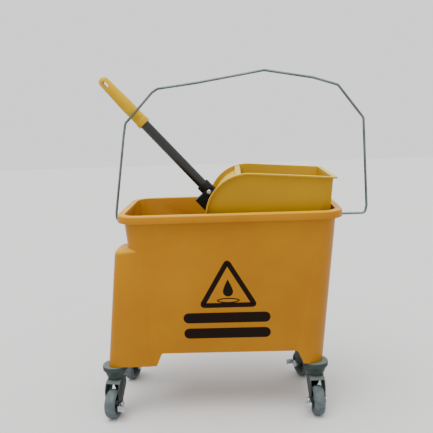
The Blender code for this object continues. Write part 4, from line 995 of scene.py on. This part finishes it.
@dataclass
class Lever:
    """Lever: shaft, gears, yoke, tube, bolt and grip."""

    model: Model
    angle: float = math.radians(131.9)   # from +X, turning up
    offset: float = 0.0156      # tube's centre line beside the shaft's axis
    tube_radius: float = 0.011
    tube_wall: float = 0.0015
    tube_start: float = 0.038
    grip_start: float = 0.2575
    grip_length: float = 0.138
    grip_overlap: float = 0.105
    grip_radius: float = 0.0148
    tip_radius: float = 0.0115
    slot_half_length: float = 0.008
    slot_half_width: float = 0.0036
    slot_half_depth: float = 0.03
    slot_rounding: float = 0.95     # of the half width
    slot_from_tip: float = 0.018
    gap: float = 0.0003
    tube_edge: float = 0.0004
    collar: float = 0.010       # length of the grip's collar
    neck: float = 0.0125        # the grip's narrower part, above its start
    neck_drop: float = 0.001
    palm: float = 0.06          # the grip's fuller part, above its start
    palm_drop: float = 0.0008
    grip_ease: float = 0.0016
    bore_edge: float = 0.001

    def pose(self) -> Matrix:
        """Pose on the tube's centre line, abreast of the shaft, with Z up the lever."""
        pivot = Vector(self.model.joint("lever_pull")["pos_m"])
        low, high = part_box("lever_tube")
        along = Vector((math.cos(self.angle), 0.0, math.sin(self.angle)))
        across = Vector((-along.z, 0.0, along.x))
        start = Vector((pivot.x, (low.y + high.y) / 2, pivot.z)) - across * self.offset
        side = Vector((0.0, 1.0, 0.0))
        turn = Matrix((side.cross(along), side, along)).transposed()
        return Matrix.Translation(start) @ turn.to_4x4()

    def build(self) -> None:
        """Build the lever and what turns with it."""
        finish = self.model.finishes
        self.model.rounded("lever_yoke", "lever", Slot.BLACK, finish.black, Edge.YOKE, steps=3)
        for node in ("lever_shaft", "yoke_bolt", "yoke_nut", "lever_clip_near",
                     "lever_clip_far"):
            self.model.rounded(node, "lever", Slot.ZINC, finish.zinc, Edge.FINE)
        for side in ("near", "far"):
            self.model.rounded(f"drive_gear_{side}", "lever", Slot.BLACK, finish.black,
                               Edge.FINE)
        pose = self.pose()
        self.tube(pose)
        self.grip(pose)

    def tube(self, pose: Matrix) -> None:
        """Model the steel tube.

        Args:
            pose: Tube's centre line.
        """
        end = self.grip_start + self.grip_overlap
        inner = self.tube_radius - self.tube_wall
        profile = [(inner, self.tube_start),
                   (self.tube_radius - self.tube_edge, self.tube_start),
                   (self.tube_radius, self.tube_start + self.tube_edge),
                   (self.tube_radius, end), (inner, end)]
        tube = turned("lever_tube_finished", profile, pose, sides=56, hollow=True)
        dress(tube, self.model.finishes.tube)
        present(tube, "lever", Slot.TUBE, "lever_tube")

    def grip(self, pose: Matrix) -> None:
        """Model the grip: collar, long taper, domed tip and a hanging slot.

        Args:
            pose: Tube's centre line.
        """
        start, tip = self.grip_start, self.grip_start + self.grip_length
        turns = [math.radians(turn) for turn in range(8, 89, 8)]
        dome = [(self.tip_radius * math.cos(turn), tip - self.tip_radius * (1 - math.sin(turn)))
                for turn in turns]
        mouth = self.tube_radius + self.gap
        outside = eased([(mouth, start), (self.grip_radius, start),
                         (self.grip_radius, start + self.collar),
                         (self.grip_radius - self.neck_drop, start + self.neck),
                         (self.grip_radius - self.palm_drop, start + self.palm),
                         (self.tip_radius, tip - self.tip_radius)], self.grip_ease, 4)
        bottom = start + self.grip_overlap + self.gap
        bore = [(mouth - self.bore_edge, bottom), (mouth, bottom - self.bore_edge)]
        grip = turned("grip_finished", [*bore, *outside, *dome], pose, sides=56)
        clear_selection()
        bpy.ops.mesh.primitive_cube_add(size=2.0)
        tool = bpy.context.object
        with Editing(tool):
            bpy.ops.transform.resize(
                value=(self.slot_half_width, self.slot_half_depth, self.slot_half_length),
                center_override=(0, 0, 0))
        apply_modifier(tool, "BEVEL", width=self.slot_half_width * self.slot_rounding,
                       segments=6)
        tool.matrix_world = pose @ Matrix.Translation((0, 0, tip - self.slot_from_tip))
        settle(tool)
        cut_away(grip, tool)
        smooth(grip, 35.0)
        dress(grip, self.model.finishes.grip)
        present(grip, "lever", Slot.GRIP, "grip")


# ---------------------------------------------------------------- studio

@dataclass
class Studio:
    """Pale floor, soft lights and the camera."""

    location: tuple[float, float, float] = (0.0067, -1.3289, 0.6618)
    yaw: float = -0.0332        # radians, as are pitch and roll
    pitch: float = 0.1768       # down
    roll: float = -0.035
    focal: float = 605.76       # in the unit of PICTURE_WIDTH
    surround: float = 1.25
    overhead: float = 3.6       # W/m2
    softness: float = math.radians(50)
    lamp_tilt: tuple[float, float, float] = (math.radians(14), math.radians(-8), 0.0)
    floor_size: float = 12.0
    floor_drop: float = 0.0002  # below the wheels, so that no faces coincide
    floor_tones: tuple[str, str] = ("#C6C6C5", "#CACAC9")

    def build(self) -> None:
        """Build the studio."""
        self.floor()
        self.lights()
        self.camera()

    def floor(self) -> None:
        """Add the floor."""
        clear_selection()
        bpy.ops.mesh.primitive_plane_add(size=self.floor_size, location=(0, 0, -self.floor_drop))
        floor = bpy.context.object
        floor.name = "floor"
        made, tree, shader = new_material("matt_pale_backdrop")
        place = add_node(tree, "ShaderNodeTexCoord").outputs["Object"]
        cloud = add_node(tree, "ShaderNodeTexNoise", {
            "Vector": place, "Scale": 3.0, "Detail": 2.0})
        tone = add_node(tree, "ShaderNodeMix", {
            "Factor": cloud.outputs["Fac"], MIX_A: linear(self.floor_tones[0]),
            MIX_B: linear(self.floor_tones[1])}, data_type="RGBA")
        feed(tree, shader, {"Base Color": tone.outputs[MIX_COLOUR], "Roughness": 0.9})
        dress(floor, made)

    def lights(self) -> None:
        """Add a pale surrounding and one broad, soft light from above."""
        world = bpy.data.worlds.new("studio")
        bpy.context.scene.world = world
        world.use_nodes = True
        sky = world.node_tree.nodes["Background"]
        sky.inputs["Color"].default_value = linear("#FFFFFF")
        sky.inputs["Strength"].default_value = self.surround
        lamp = bpy.data.lights.new("overhead_light", "SUN")
        lamp.energy = self.overhead
        lamp.angle = self.softness
        holder = bpy.data.objects.new(lamp.name, lamp)
        bpy.context.scene.collection.objects.link(holder)
        holder.rotation_euler = self.lamp_tilt

    def camera(self) -> None:
        """Add the camera."""
        level_share = math.cos(self.pitch)
        forward = Vector((math.sin(self.yaw) * level_share, math.cos(self.yaw) * level_share,
                          -math.sin(self.pitch)))
        level = forward.cross(Vector((0, 0, 1))).normalized()
        upright = level.cross(forward)
        right = level * math.cos(self.roll) + upright * math.sin(self.roll)
        up = upright * math.cos(self.roll) - level * math.sin(self.roll)
        view = bpy.data.cameras.new("camera")
        view.sensor_width = SENSOR
        view.lens = self.focal / PICTURE_WIDTH * SENSOR
        holder = bpy.data.objects.new("camera", view)
        bpy.context.scene.collection.objects.link(holder)
        turn = Matrix((right, up, -forward)).transposed().to_4x4()
        holder.matrix_world = Matrix.Translation(self.location) @ turn
        bpy.context.scene.camera = holder


def main() -> None:
    """Build the whole bucket round the frame and put it in the studio."""
    logging.basicConfig(level=logging.INFO, format="%(name)s: %(message)s")
    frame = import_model()
    model = Model(frame, Finishes())
    Tub(model).build()
    Bail(model).build()
    for place in ("near_left", "near_right", "far_left", "far_right"):
        Caster(model, place).build()
    Wringer(model).build()
    Press(model).build()
    Lever(model).build()
    Studio().build()
    bpy.context.view_layer.update()


if __name__ == "__main__":
    main()
